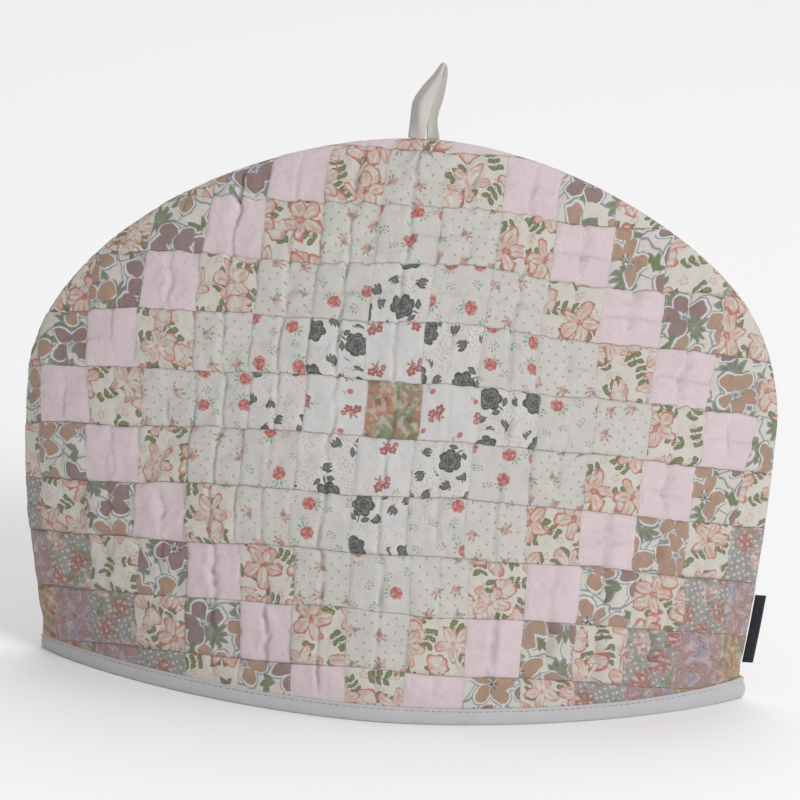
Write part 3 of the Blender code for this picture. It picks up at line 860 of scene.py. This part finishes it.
def dye(bm, dome, seed):
    """Give every face its print, and every corner its place on that print."""
    s = dome.s
    cloth = bm.loops.layers.uv.new("cloth")
    square = bm.loops.layers.uv.new("square")
    for face in bm.faces:
        middle = face.calc_center_median()
        column = round((middle.x - s.centre_along) / s.patch)
        row = round((middle.y - s.centre_climb) / s.patch)
        face.material_index = min(abs(column) + abs(row), len(RINGS) - 1)
        chance = noise.cell_vector(Vector((column + 31.5, row + 17.5, seed)))
        flip = -1 if chance.z > 0.5 else 1
        for loop in face.loops:
            along = loop.vert.co.x - s.centre_along - column * s.patch
            climb = loop.vert.co.y - s.centre_climb - row * s.patch
            loop[cloth].uv = (
                flip * along / MM + 900 * chance.x, flip * climb / MM + 900 * chance.y
            )
            loop[square].uv = (along / s.patch + 0.5, climb / s.patch + 0.5)


# Main creases of the front, listed in squares from the middle one:
# start column and row, end column and row, depth in mm (minus is a ridge), half width in mm
CREASES = (
    (-1.05, 4.5, -0.95, 3.35, 2.0, 1.6),
    (-1.25, 3.5, -0.8, 3.2, 1.2, 2.2),
    (-2.95, 4.7, -3.05, 2.95, 2.2, 1.7),
    (-3.2, 4.1, -2.75, 4.0, 1.0, 1.6),
    (0.1, 3.0, 0.95, 2.55, -0.9, 2.0),
    (0.15, 2.8, 0.6, 2.35, 0.7, 1.8),
    (1.05, 4.4, 0.9, 3.4, 1.4, 1.4),
    (-2.0, 2.6, -1.9, 1.4, 0.9, 1.6),
    (3.0, 3.5, 3.05, 2.5, 1.7, 1.4),
    (4.0, 2.5, 3.9, 1.5, 1.6, 1.4),
    (-4.05, 2.5, -3.95, 1.5, 0.9, 1.4),
    (-2.1, -1.0, -1.8, -2.3, -0.6, 2.0),
    (0.95, -1.3, 1.1, -2.6, 0.8, 1.6),
    (-3.0, -2.5, -2.95, -3.5, 1.5, 1.5),
    (-4.05, -1.5, -3.9, -2.4, 0.9, 1.5),
    (-2.05, -3.4, -1.95, -4.5, 1.5, 1.6),
    (4.95, -1.5, 5.05, -2.5, 2.6, 1.5),
    (4.0, -2.4, 4.0, -3.4, 2.8, 1.6),
    (2.05, -3.4, 1.9, -4.6, 2.3, 1.6),
    (3.0, -3.4, 3.05, -4.4, 2.9, 1.5),
    (5.4, -2.6, 5.25, -4.2, 3.4, 1.8),
    (4.0, -3.4, 3.95, -4.7, 3.6, 1.7),
    (4.9, -3.3, 5.15, -4.5, 2.6, 1.7),
    (6.0, -2.3, 6.05, -3.3, 2.8, 1.6),
    (6.1, -3.4, 5.9, -4.3, 2.4, 1.8),
    (-5.2, -2.8, -5.0, -4.1, 1.0, 1.8),
    (0.3, 0.9, 0.75, 0.55, 0.6, 1.6),
    (-0.7, -1.7, -0.2, -2.2, 0.6, 1.8),
    (1.4, 1.2, 1.9, 0.9, 0.5, 1.8),
    (5.0, -0.5, 4.95, -1.45, 2.7, 1.5),
    (4.6, -1.0, 5.45, -1.05, 1.7, 1.6),
    (4.0, -1.5, 4.03, -2.45, 2.8, 1.5),
    (3.65, -2.0, 4.45, -1.95, 1.7, 1.6),
    (3.02, -2.55, 2.95, -3.45, 1.3, 1.4),
    (2.6, -3.0, 3.3, -3.05, 0.9, 1.5),
    (5.02, 1.5, 4.96, 0.5, 2.3, 1.5),
    (4.55, 1.0, 5.4, 1.05, 1.1, 1.5),
    (3.6, 2.0, 4.4, 2.05, 1.0, 1.5),
    (2.6, 3.0, 3.4, 3.05, 1.0, 1.5),
    (6.0, 0.5, 6.0, -0.45, 1.6, 1.4),
    (3.0, 1.5, 3.06, 0.5, 1.2, 1.4),
    (2.0, 0.5, 1.95, -0.6, 1.1, 1.4),
    (2.98, -0.5, 3.05, -1.5, 1.1, 1.4),
    (-3.4, 2.0, -2.6, 2.1, 0.8, 1.6),
    (-4.4, 1.0, -3.6, 0.95, 0.7, 1.6),
    (-5.4, 0.0, -4.6, 0.05, 0.8, 1.6),
)


def ditch(distance, reach):
    return np.exp(-((distance / reach) ** 2))


def each(function, *columns):
    return np.array([function(*row) for row in zip(*columns)])


def rough(x, y, seed):
    """Smooth noise from -1 to 1 at every point."""
    return each(lambda a, b: noise.noise(Vector((a, b, seed))), x, y)


def chance_of(x, y, seed):
    """The same chance, 0 to 1, all over each unit square."""
    return each(lambda a, b: noise.cell(Vector((a + 40.5, b + 40.5, seed))), np.floor(x), np.floor(y))


def quilting_line(dome, quilting, cross, run, seed, reach):
    """A stitched line through the middles of the squares: it wavers, gathers and lets go."""
    q, side = quilting, dome.s.patch
    index = np.floor(cross)
    steps = run * side
    waver = 0.0013 * rough(steps / 0.013, index * 3.7, seed) + 0.0010 * rough(steps / 0.0055, index * 5.1, seed)
    off = (cross - index - 0.5) * side - waver
    pull = 0.55 + 0.8 * rough(steps / 0.011, index * 7.3, seed + 2) + 0.5 * rough(steps / 0.004, index, seed + 4)
    own = 0.75 + 0.5 * chance_of(index, index * 0, seed + 6)
    pull = np.clip(pull, 0.25, 1.6) * own
    lip = 0.35 * ditch(off - 2.1 * reach, 1.5 * reach) + 0.25 * ditch(off + 2.3 * reach, 1.5 * reach)
    return pull, pull * (ditch(off, reach) - lip)


def creased(u, v, side):
    """The creases that are listed in CREASES."""
    total = np.zeros(len(u))
    for u0, v0, u1, v1, depth, reach in CREASES:
        du, dv = u1 - u0, v1 - v0
        along = np.clip(((u - u0) * du + (v - v0) * dv) / (du * du + dv * dv), -0.3, 1.3)
        waver = 0.035 * np.sin(along * 9.0 + u0 * 3) + 0.02 * np.sin(along * 23.0 + v0)
        off = np.hypot(u - u0 - along * du + waver, v - v0 - along * dv) * side / MM
        strength = np.clip(1.3 - np.abs(2 * along - 1), 0, 1) * (0.75 + 0.25 * np.sin(along * 31.0))
        total -= 1.3 * depth * MM * strength * (ditch(off, reach) - 0.3 * ditch(off - 2 * reach, 1.6 * reach))
    return total


def relief(dome, quilting, along, climb, side):
    """Height of the quilted cloth over the smooth dome."""
    s, q = dome.s, quilting
    seed = 3.0 if side < 0 else 11.0
    u = (along - s.centre_along) / s.patch
    v = (climb - s.centre_climb) / s.patch
    fu, fv = u + 0.5 - np.floor(u + 0.5), v + 0.5 - np.floor(v + 0.5)
    to_side = np.minimum(fu, 1 - fu) * s.patch
    to_row = np.minimum(fv, 1 - fv) * s.patch
    chance = chance_of(2 * u, 2 * v, seed)
    quarter = np.abs(np.sin(TAU * fu) * np.sin(TAU * fv)) ** 0.5
    whole = np.abs(np.sin(math.pi * fu) * np.sin(math.pi * fv)) ** 0.5
    height = q.puff * (quarter * (0.3 + 0.9 * chance) + 0.4 * whole)
    tilt = (chance_of(u + 0.5, v + 0.5, seed + 1) - 0.5) * (fu - 0.5) * 2
    height += 0.0007 * tilt * whole
    height -= q.seam_depth * (0.35 * ditch(to_side, q.seam_reach) + ditch(to_row, q.seam_reach))
    height += q.allowance * (np.exp(-fu * s.patch / 0.003) + np.exp(-(1 - fv) * s.patch / 0.003))
    pull, line = quilting_line(dome, q, u + 0.5, v, seed, q.line_reach)
    middle = (1 + 0.9 * ditch(u, 0.3)) * (1 + 0.4 * np.clip(u / 5, -0.3, 1)) if side < 0 else 1.0
    height -= q.line_depth * line * middle
    unused_pull, cross_line = quilting_line(dome, q, v + 0.5, u, seed + 20, 1.9 * q.line_reach)
    height -= 0.5 * q.line_depth * cross_line
    if side < 0:
        height += creased(u, v, s.patch)
    folds = each(lambda x, y: noise.turbulence(Vector((x, y, seed * 2)), 3, True), along / 0.019, climb / 0.015)
    height += q.crumple * (folds - 0.5) * (0.35 + 0.65 * whole)
    height += 0.45 * q.crumple * rough(along / 0.0065, climb / 0.0075, seed + 21)
    gathered = rough(along / 0.0034, climb / 0.012, seed + 31) * np.exp(-to_row / 0.0035)
    to_line = np.abs(fu - 0.5) * s.patch
    gathered += 1.3 * pull * rough(along / 0.010, climb / 0.0036, seed + 41) * np.exp(-to_line / 0.0042)
    return height + q.pucker * gathered


def shifted(dome, quilting, along, climb, seed):
    """Seams stray a little, and each row's seams miss the next row's."""
    s = dome.s

    def stray(x, y):
        slow = noise.noise_vector(Vector((x / 0.045, y / 0.045, seed)))
        fast = noise.noise_vector(Vector((x / 0.013, y / 0.013, seed + 5)))
        return (slow.x + 0.25 * fast.x, slow.y + 0.25 * fast.y)

    moved = each(stray, along, climb) * quilting.wander * 2
    v = (climb - s.centre_climb) / s.patch + 0.5
    row = np.floor(v)
    part = v - row
    nearest = np.where(part < 0.5, row - 1, row + 1)
    away = np.clip(np.minimum(part, 1 - part) / 0.07, 0, 1)
    slips = [slip_of(along, r, quilting, seed) for r in (row, nearest)]
    slip = slips[0] * (0.5 + 0.5 * away) + slips[1] * (0.5 - 0.5 * away)
    return along + moved[:, 0] + slip, climb + moved[:, 1]


def slip_of(along, row, quilting, seed):
    whole = chance_of(row, row * 0, seed + 8) - 0.5
    return quilting.row_slip * (1.2 * whole + 1.1 * rough(along / 0.03, row * 5.3, seed + 9))


def sew_panel(name, side, dome, quilting, materials):
    seed = 3.0 if side < 0 else 11.0
    bm = bmesh.new()
    lay_flat(bm, dome)
    dye(bm, dome, seed)
    rim = [v.is_boundary for v in bm.verts]
    for v, on_rim in zip(bm.verts, rim):
        v.co.z = 1.0 if on_rim else 0.0
    grown = bmesh.ops.extrude_face_region(bm, geom=bm.faces[:], use_keep_orig=True)
    outer = {g for g in grown["geom"] if isinstance(g, bmesh.types.BMVert)}
    for face in bm.faces:
        if not all(v in outer for v in face.verts):
            face.material_index = len(RINGS)
    flat = np.array([v.co for v in bm.verts])
    is_outer = np.array([v in outer for v in bm.verts])
    places = on_panel(dome, quilting, flat, is_outer, side, seed)
    for v, place in zip(bm.verts, places):
        v.co = place
    bmesh.ops.recalc_face_normals(bm, faces=bm.faces[:])
    if bm.calc_volume(signed=True) < 0:
        bmesh.ops.reverse_faces(bm, faces=bm.faces[:])
    return finished(name, bm, materials)


def on_panel(dome, quilting, flat, is_outer, side, seed):
    """Every point of the flat panel in its place on the dome."""
    along, climb, on_rim = flat[:, 0], flat[:, 1], flat[:, 2] > 0.5
    tree = kdtree.KDTree(len(dome.ridge))
    for k, (a, c, z) in enumerate(dome.ridge):
        tree.insert(Vector((a, c, 0)), k)
    tree.balance()
    found = [tree.find(Vector((abs(a), c, 0))) for a, c in zip(along, climb)]
    near = np.array([f[2] for f in found])
    ridge_height = np.array([dome.ridge[f[1]][2] for f in found])
    fade = np.clip(near / 0.009, 0, 1)
    stray_along, stray_climb = shifted(dome, quilting, along, climb, seed)
    mix = np.clip(near / 0.004, 0, 1)
    station, z = dome.on_dome(along + (stray_along - along) * mix, climb + (stray_climb - climb) * mix)
    foot = on_rim & (z < dome.FOOT + 0.0015)
    z = np.where(foot, dome.FOOT, np.where(on_rim, ridge_height, z))
    at_ridge = on_rim & ~(foot & (near > 0.0012))
    station = np.where(at_ridge, np.copysign(1.0, along), station)
    hem = np.clip((z - dome.BOUND_TO + 0.004) / 0.008, 0, 1)
    slow = dome.sway(along, climb) * quilting.sway
    slow *= np.clip(near / 0.014, 0, 1) * np.clip((z - dome.BOUND_TO) / 0.01, 0, 1)
    raised = np.zeros(len(along))
    raised[is_outer] = relief(dome, quilting, along[is_outer], climb[is_outer], side)
    deepest = 0.72 * dome.wall_at(z)
    raised = np.where(raised < 0, -deepest * np.tanh(-raised / deepest), raised)
    outward = raised * fade * hem + slow
    outward -= 0.0006 * (1 - np.clip(near / 0.0016, 0, 1)) * hem
    inward = -dome.wall_at(z) + slow - 0.4 * quilting.puff * fade * hem
    places = dome.place(station, z, np.where(is_outer, outward, inward), side)
    places[:, 1] += side * 0.00015
    return places


def finished(name, bm, materials, body="root"):
    mesh = bpy.data.meshes.new(name)
    bm.to_mesh(mesh)
    bm.free()
    mesh.shade_smooth()
    for material in materials:
        mesh.materials.append(material)
    made = bpy.data.objects.new(name, mesh)
    bpy.context.scene.collection.objects.link(made)
    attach(made, body)
    return made


def loft(bm, rings, uv_scale, closed_along=True):
    """Faces between rings of points, with the cloth's own measure as UV."""
    cloth = bm.loops.layers.uv.new("cloth")
    made = [[bm.verts.new(p) for p in ring] for ring in rings]
    count = len(rings[0])
    lengths = np.concatenate([[0], np.cumsum([(Vector(a[0]) - Vector(b[0])).length
                                              for a, b in zip(rings, rings[1:] + rings[:1])])])
    girth = np.concatenate([[0], np.cumsum([(Vector(rings[0][k]) - Vector(rings[0][(k + 1) % count])).length
                                            for k in range(count)])])
    spans = len(rings) if closed_along else len(rings) - 1
    for i in range(spans):
        ring, following = made[i], made[(i + 1) % len(made)]
        for k in range(count):
            after = (k + 1) % count
            face = bm.faces.new((ring[k], following[k], following[after], ring[after]))
            corners = ((i, k), (i + 1, k), (i + 1, k + 1), (i, k + 1))
            for loop, (a, b) in zip(face.loops, corners):
                loop[cloth].uv = (lengths[a] / MM * uv_scale, girth[b] / MM * uv_scale)
    if not closed_along:
        bm.faces.new(made[0])
        bm.faces.new(made[-1])
    bmesh.ops.recalc_face_normals(bm, faces=bm.faces[:])
    if bm.calc_volume(signed=True) < 0:
        bmesh.ops.reverse_faces(bm, faces=bm.faces[:])


BINDING_PROFILE = (
    (0.10, 7.35), (0.55, 7.55), (0.95, 7.2), (1.05, 6.7), (0.78, 6.1), (1.1, 5.5), (1.45, 4.6),
    (1.6, 3.4), (1.6, 2.2), (1.35, 1.0), (0.9, 0.3), (0.3, 0.0), (-1.5, 0.0), (-3.3, 0.0),
    (-4.0, 0.35), (-4.5, 1.2), (-4.7, 2.6), (-4.6, 4.4), (-4.1, 6.0), (-3.6, 7.2), (-3.2, 7.5),
    (-3.02, 7.0), (-3.02, 2.0), (0.02, 2.0),
)
BINDING_STEPS = 440
STITCH_LINE = (0.78, 6.1)


def hem_places(steps):
    """Stations and sides once round the hem."""
    half = [math.sin(k / steps * math.pi) for k in range(-steps // 2, steps // 2)]
    return [(s, -1) for s in half] + [(-s, 1) for s in half]


def hem_point(dome, station, side, depth, z):
    point = dome.place(np.array([station]), np.array([0.0]), np.array([depth]), side)[0]
    return Vector((point[0], point[1], z))


def binding_squeeze(station):
    """The binding is narrower at the corner away from the tab, and wider at the tab's."""
    return 1 - 0.16 * max(-station, 0) ** 5 + 0.3 * max(station, 0) ** 6


def binding_rings(dome):
    rings = []
    for k, (station, side) in enumerate(hem_places(BINDING_STEPS)):
        here = hem_point(dome, station, side, 0.0, 0.0)
        pull = noise.noise(Vector((here.x / 0.006, here.y / 0.006, 2.0)))
        wave = binding_wave(here)
        corner = 1 + (0.6 if station > 0 else -0.45) * abs(station) ** 30
        ring = []
        for depth, z in BINDING_PROFILE:
            outside = depth > 0.15 and z > 0.1
            swell = (0.14 * pull + 0.16 * wave) * min(z / 3, 1) if outside else 0
            rise = (0.3 * wave + 0.14 * pull) * (z > 5.0)
            out = (depth + swell) * (corner if depth > 0 else 1)
            up = (z + rise) * binding_squeeze(station)
            ring.append(hem_point(dome, station, side, out * MM, up * MM))
        rings.append(ring)
    return rings


def binding_wave(here):
    return noise.noise(Vector((here.x / 0.03, here.y / 0.03, 7.0)))


def bind_hem(dome, cloths):
    bm = bmesh.new()
    loft(bm, binding_rings(dome), 1.0)
    return finished("folded_binding", bm, [plain_material("binding cotton", cloths.binding)])


def topstitch(dome, cloths):
    """A row of short stitches sunk in the binding near its upper edge."""
    bm = bmesh.new()
    length, gap, radius = 0.0021, 0.0009, 0.00019
    path = []
    for station, side in hem_places(900):
        point = hem_point(dome, station, side, STITCH_LINE[0] * MM, 0.0)
        rise = STITCH_LINE[1] + 0.3 * binding_wave(hem_point(dome, station, side, 0.0, 0.0))
        point.z = rise * binding_squeeze(station) * MM
        path.append(point)
    path.append(path[0])
    walked, due = 0.0, 0.0
    for a, b in zip(path, path[1:]):
        walked += (b - a).length
        if walked < due:
            continue
        due += length + gap
        facing = (b - a).to_track_quat("X", "Z").to_matrix().to_4x4()
        shape = Matrix.Diagonal((length / 2, radius, radius, 1))
        placing = Matrix.Translation(a) @ facing @ shape
        bmesh.ops.create_icosphere(bm, subdivisions=1, radius=1.0, matrix=placing)
    bm.loops.layers.uv.new("cloth")
    return finished("binding_topstitch", bm, [plain_material("stitching thread", cloths.stitch)])


LOOP_FOOT = (2.5, 0.0)
LOOP_HALF_THICK = 0.55
LOOP_FOLDS = 9
LOOP_PER_SECTION = 7
# The folded tape, given in mm from the loop's foot: height, then its back edge, its
# crease and its front edge, each as across and back, up one leg, over and down the other
LOOP_SECTIONS = (
    (-1.4, (-6.9, 0.5), (-1.0, -1.0), (0.5, -0.5)),
    (6.5, (-6.4, 2.0), (-2.0, -2.6), (1.6, -0.9)),
    (14.5, (-5.7, 3.4), (-2.3, -3.4), (3.1, -0.9)),
    (21.0, (-2.2, 3.7), (0.4, -3.4), (5.1, -0.7)),
    (26.8, (2.3, 3.0), (4.2, -2.9), (6.6, -1.0)),
    (31.0, (5.1, 3.0), (6.1, -2.5), (7.3, -1.0)),
    (32.4, (6.2, 3.1), (7.1, -2.0), (7.9, -0.6)),
    (31.2, (7.7, 3.2), (7.9, -0.6), (8.1, 0.5)),
    (26.8, (8.6, 3.4), (7.3, 1.6), (6.4, 1.2)),
    (17.0, (7.6, 3.4), (5.2, 2.3), (2.4, 1.8)),
    (11.0, (6.1, 2.8), (3.8, 2.0), (1.5, 1.6)),
    (6.0, (5.7, 2.0), (3.6, 1.5), (1.2, 1.2)),
    (-1.4, (7.2, 1.0), (4.2, 0.9), (1.2, 0.8)),
)


def between_points(points, part):
    """A point on the smooth curve through four, between the middle two."""
    a, b, c, d = points
    return 0.5 * (2 * b + (c - a) * part + (2 * a - 5 * b + 4 * c - d) * part ** 2
                  + (3 * b - a - 3 * c + d) * part ** 3)


def loop_lines():
    """The tape's back edge, crease and front edge, smoothed along its length."""
    foot = Vector((*LOOP_FOOT, PANEL_HIGH.z / MM))
    sections = []
    for height, *places in LOOP_SECTIONS:
        sections.append([foot + Vector((across, back, height)) for across, back in places])
    lines = []
    for k in range(len(sections) - 1):
        four = [sections[min(max(n, 0), len(sections) - 1)] for n in (k - 1, k, k + 1, k + 2)]
        for step in range(LOOP_PER_SECTION):
            part = step / LOOP_PER_SECTION
            lines.append([between_points([f[e] for f in four], part) for e in range(3)])
    lines.append(sections[-1])
    return lines


def loop_rings():
    """A closed section round the tape's two flanges at every step."""
    lines = loop_lines()
    middles = []
    for back, crease, front in lines:
        row = []
        for k in range(LOOP_FOLDS + 1):
            t = k / LOOP_FOLDS
            bent = back * (1 - t) ** 2 + crease * (2 * t * (1 - t)) + front * t ** 2
            sharp = back.lerp(crease, 2 * t) if t < 0.5 else crease.lerp(front, 2 * t - 1)
            row.append(bent.lerp(sharp, 0.85))
        middles.append(row)
    rings = []
    for n, row in enumerate(middles):
        before, after = middles[max(n - 1, 0)], middles[min(n + 1, len(middles) - 1)]
        over, under = [], []
        for k, point in enumerate(row):
            along = after[k] - before[k]
            across = row[min(k + 1, LOOP_FOLDS)] - row[max(k - 1, 0)]
            normal = along.cross(across).normalized()
            edge = min(k, LOOP_FOLDS - k)
            thick = LOOP_HALF_THICK * (0.45 if edge == 0 else 1.08 if edge == 1 else 0.92)
            over.append((point + normal * thick) * MM)
            under.append((point - normal * thick) * MM)
        rings.append(over + under[::-1])
    return rings


def sew_loop(cloths):
    bm = bmesh.new()
    loft(bm, loop_rings(), 1.0, closed_along=False)
    made = finished("tape_loop", bm, [plain_material("cotton tape", cloths.tape, pitch=0.6, depth=0.0004)])
    smooth = made.modifiers.new("soft cloth", "SUBSURF")
    smooth.levels = smooth.render_levels = 1
    return made


TAB_STEPS = 26


def tab_rings(dome):
    """A ribbon folded in half: two plies that meet in a round outer fold."""
    rings = []
    reach = 4.9
    for k in range(TAB_STEPS + 1):
        part = k / TAB_STEPS
        z = TAB_LOW.z + (TAB_HIGH.z - TAB_LOW.z) * part
        seam = dome.place(np.array([1.0]), np.array([z]), np.array([0.0]), 1)[0][0]
        bow = 0.25 * math.sin(math.pi * part) + 0.12 * math.sin(9 * part)
        x = seam / MM - 0.3
        ply = [(0.0, 0.62), (1.5, 0.60), (3.2, 0.66), (reach - 0.7, 0.62), (reach - 0.25, 0.45), (reach, 0.0)]
        outer = ply + [(a, -b) for a, b in ply[-2::-1]]
        inner = [(0.0, -0.2), (reach - 1.2, -0.16), (reach - 1.0, 0.0), (reach - 1.2, 0.16), (0.0, 0.2)]
        ring = [Vector(((x + a) * MM, (b + bow) * MM, z)) for a, b in outer + inner]
        rings.append(ring)
    return rings


def sew_tab(dome, cloths):
    bm = bmesh.new()
    loft(bm, tab_rings(dome), 1.0, closed_along=False)
    navy = plain_material("navy ribbon", cloths.navy, pitch=0.5, roughness=0.6, depth=0.0003, sheen=0.2)
    return finished("folded_tab", bm, [navy])


def settings():
    scene = bpy.context.scene
    return scene.cosy_dome, scene.cosy_quilting, scene.cosy_cloths, scene.cosy_stage


class COSY_OT_panels(bpy.types.Operator):
    """Sew the front and back panels from printed squares"""

    bl_idname = "cosy.panels"
    bl_label = "Quilted panels"

    def execute(self, context):
        sizes, quilting, cloths, unused_stage = settings()
        dome = Dome(sizes)
        noise.seed_set(STRAY_SEED)
        made = {}
        for paint in RINGS:
            if paint not in made:
                made[paint] = patch_material(paint.__name__.replace("_", " "), paint, cloths)
        materials = [made[paint] for paint in RINGS]
        materials.append(plain_material("backing cotton", cloths.backing))
        for name, side, node in (("front_quilt", -1, "front_panel"), ("back_quilt", 1, "back_panel")):
            panel = sew_panel(name, side, dome, quilting, materials)
            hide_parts(node)
        return {"FINISHED"}


class COSY_OT_binding(bpy.types.Operator):
    """Fold the binding round the hem and topstitch it"""

    bl_idname = "cosy.binding"
    bl_label = "Hem binding"

    def execute(self, context):
        sizes, unused_quilting, cloths, unused_stage = settings()
        dome = Dome(sizes)
        binding = bind_hem(dome, cloths)
        stitches = topstitch(dome, cloths)
        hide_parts("hem_binding")
        return {"FINISHED"}


class COSY_OT_loop(bpy.types.Operator):
    """Sew the folded tape loop on the ridge"""

    bl_idname = "cosy.loop"
    bl_label = "Tape loop"

    def execute(self, context):
        loop = sew_loop(settings()[2])
        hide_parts("top_loop")
        return {"FINISHED"}


class COSY_OT_tab(bpy.types.Operator):
    """Fold the small ribbon tab in the side seam"""

    bl_idname = "cosy.tab"
    bl_label = "Side tab"

    def execute(self, context):
        sizes, unused_quilting, cloths, unused_stage = settings()
        tab = sew_tab(Dome(sizes), cloths)
        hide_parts("side_tab")
        return {"FINISHED"}


def area_light(name, power, width, place, target):
    light = bpy.data.lights.new(name, "AREA")
    light.energy = power
    light.shape = "RECTANGLE"
    light.size = width
    light.size_y = width
    lamp = bpy.data.objects.new(name, light)
    lamp.location = place
    lamp.rotation_euler = (Vector(target) - Vector(place)).to_track_quat("-Z", "Y").to_euler()
    bpy.context.scene.collection.objects.link(lamp)


def set_camera(stage):
    """The photograph's view: from the front, a little above, with a long lens."""
    data = bpy.data.cameras.new("camera")
    data.sensor_width = 36.0
    data.lens = stage.field * data.sensor_width
    camera = bpy.data.objects.new("camera", data)
    facing = Euler((math.pi / 2 - stage.climb, 0, stage.swing)).to_matrix()
    aim = Vector((0, 0, stage.aim_height))
    level = facing @ Matrix.Rotation(stage.roll, 3, "Z")
    aim = aim + level @ Vector((stage.aim_right, stage.aim_up, 0))
    camera.location = aim + facing @ Vector((0, 0, stage.distance))
    camera.rotation_euler = level.to_euler()
    bpy.context.scene.collection.objects.link(camera)
    bpy.context.scene.camera = camera


class COSY_OT_stage(bpy.types.Operator):
    """Set the floor, the soft lights and the camera"""

    bl_idname = "cosy.stage"
    bl_label = "Stage"

    def execute(self, context):
        stage = settings()[3]
        set_camera(stage)
        bm = bmesh.new()
        bmesh.ops.create_grid(bm, x_segments=1, y_segments=1, size=6.0)
        bm.loops.layers.uv.new("cloth")
        mesh = bpy.data.meshes.new("floor")
        bm.to_mesh(mesh)
        bm.free()
        mesh.materials.append(plain_material("pale floor", stage.floor, mottle=0.01, depth=0.00001))
        floor = bpy.data.objects.new("floor", mesh)
        bpy.context.scene.collection.objects.link(floor)
        area_light("right softbox", 60, 1.2, (2.1, -2.1, 1.9), (0, 0, 0.12))
        area_light("front softbox", 5, 2.2, (-1.2, -3.0, 0.9), (0, 0, 0.12))
        area_light("top softbox", 42, 2.4, (0.2, 1.6, 3.0), (0, 1.0, 0))
        world = bpy.data.worlds.new("studio")
        world.use_nodes = True
        background = world.node_tree.nodes["Background"]
        background.inputs["Color"].default_value = (1, 1, 1, 1)
        background.inputs["Strength"].default_value = 0.44
        bpy.context.scene.world = world
        bpy.context.scene.view_settings.view_transform = "Standard"
        return {"FINISHED"}


class COSY_PT_sidebar(bpy.types.Panel):
    """Lists the cosy's pieces and their settings"""

    bl_idname = "COSY_PT_sidebar"
    bl_label = "Tea Cosy"
    bl_space_type = "VIEW_3D"
    bl_region_type = "UI"
    bl_category = "Tea Cosy"

    def draw(self, context):
        for piece in PIECES:
            self.layout.operator(piece.bl_idname)
        for group in settings():
            box = self.layout.box()
            for name in group.bl_rna.properties.keys():
                if name not in ("rna_type", "name"):
                    box.prop(group, name)


PIECES = (COSY_OT_panels, COSY_OT_binding, COSY_OT_loop, COSY_OT_tab, COSY_OT_stage)
GROUPS = {
    "cosy_dome": CosyDome,
    "cosy_quilting": CosyQuilting,
    "cosy_cloths": CosyCloths,
    "cosy_stage": CosyStage,
}


def register():
    for cls in (*GROUPS.values(), *PIECES, COSY_PT_sidebar):
        bpy.utils.register_class(cls)
    for name, group in GROUPS.items():
        setattr(bpy.types.Scene, name, bpy.props.PointerProperty(type=group))


def unregister():
    for name in GROUPS:
        delattr(bpy.types.Scene, name)
    for cls in (COSY_PT_sidebar, *reversed(PIECES), *reversed(GROUPS.values())):
        bpy.utils.unregister_class(cls)


def main():
    register()
    bpy.ops.cosy.panels()
    bpy.ops.cosy.binding()
    bpy.ops.cosy.loop()
    bpy.ops.cosy.tab()
    bpy.ops.cosy.stage()
    bpy.context.view_layer.update()


if __name__ == "__main__":
    main()
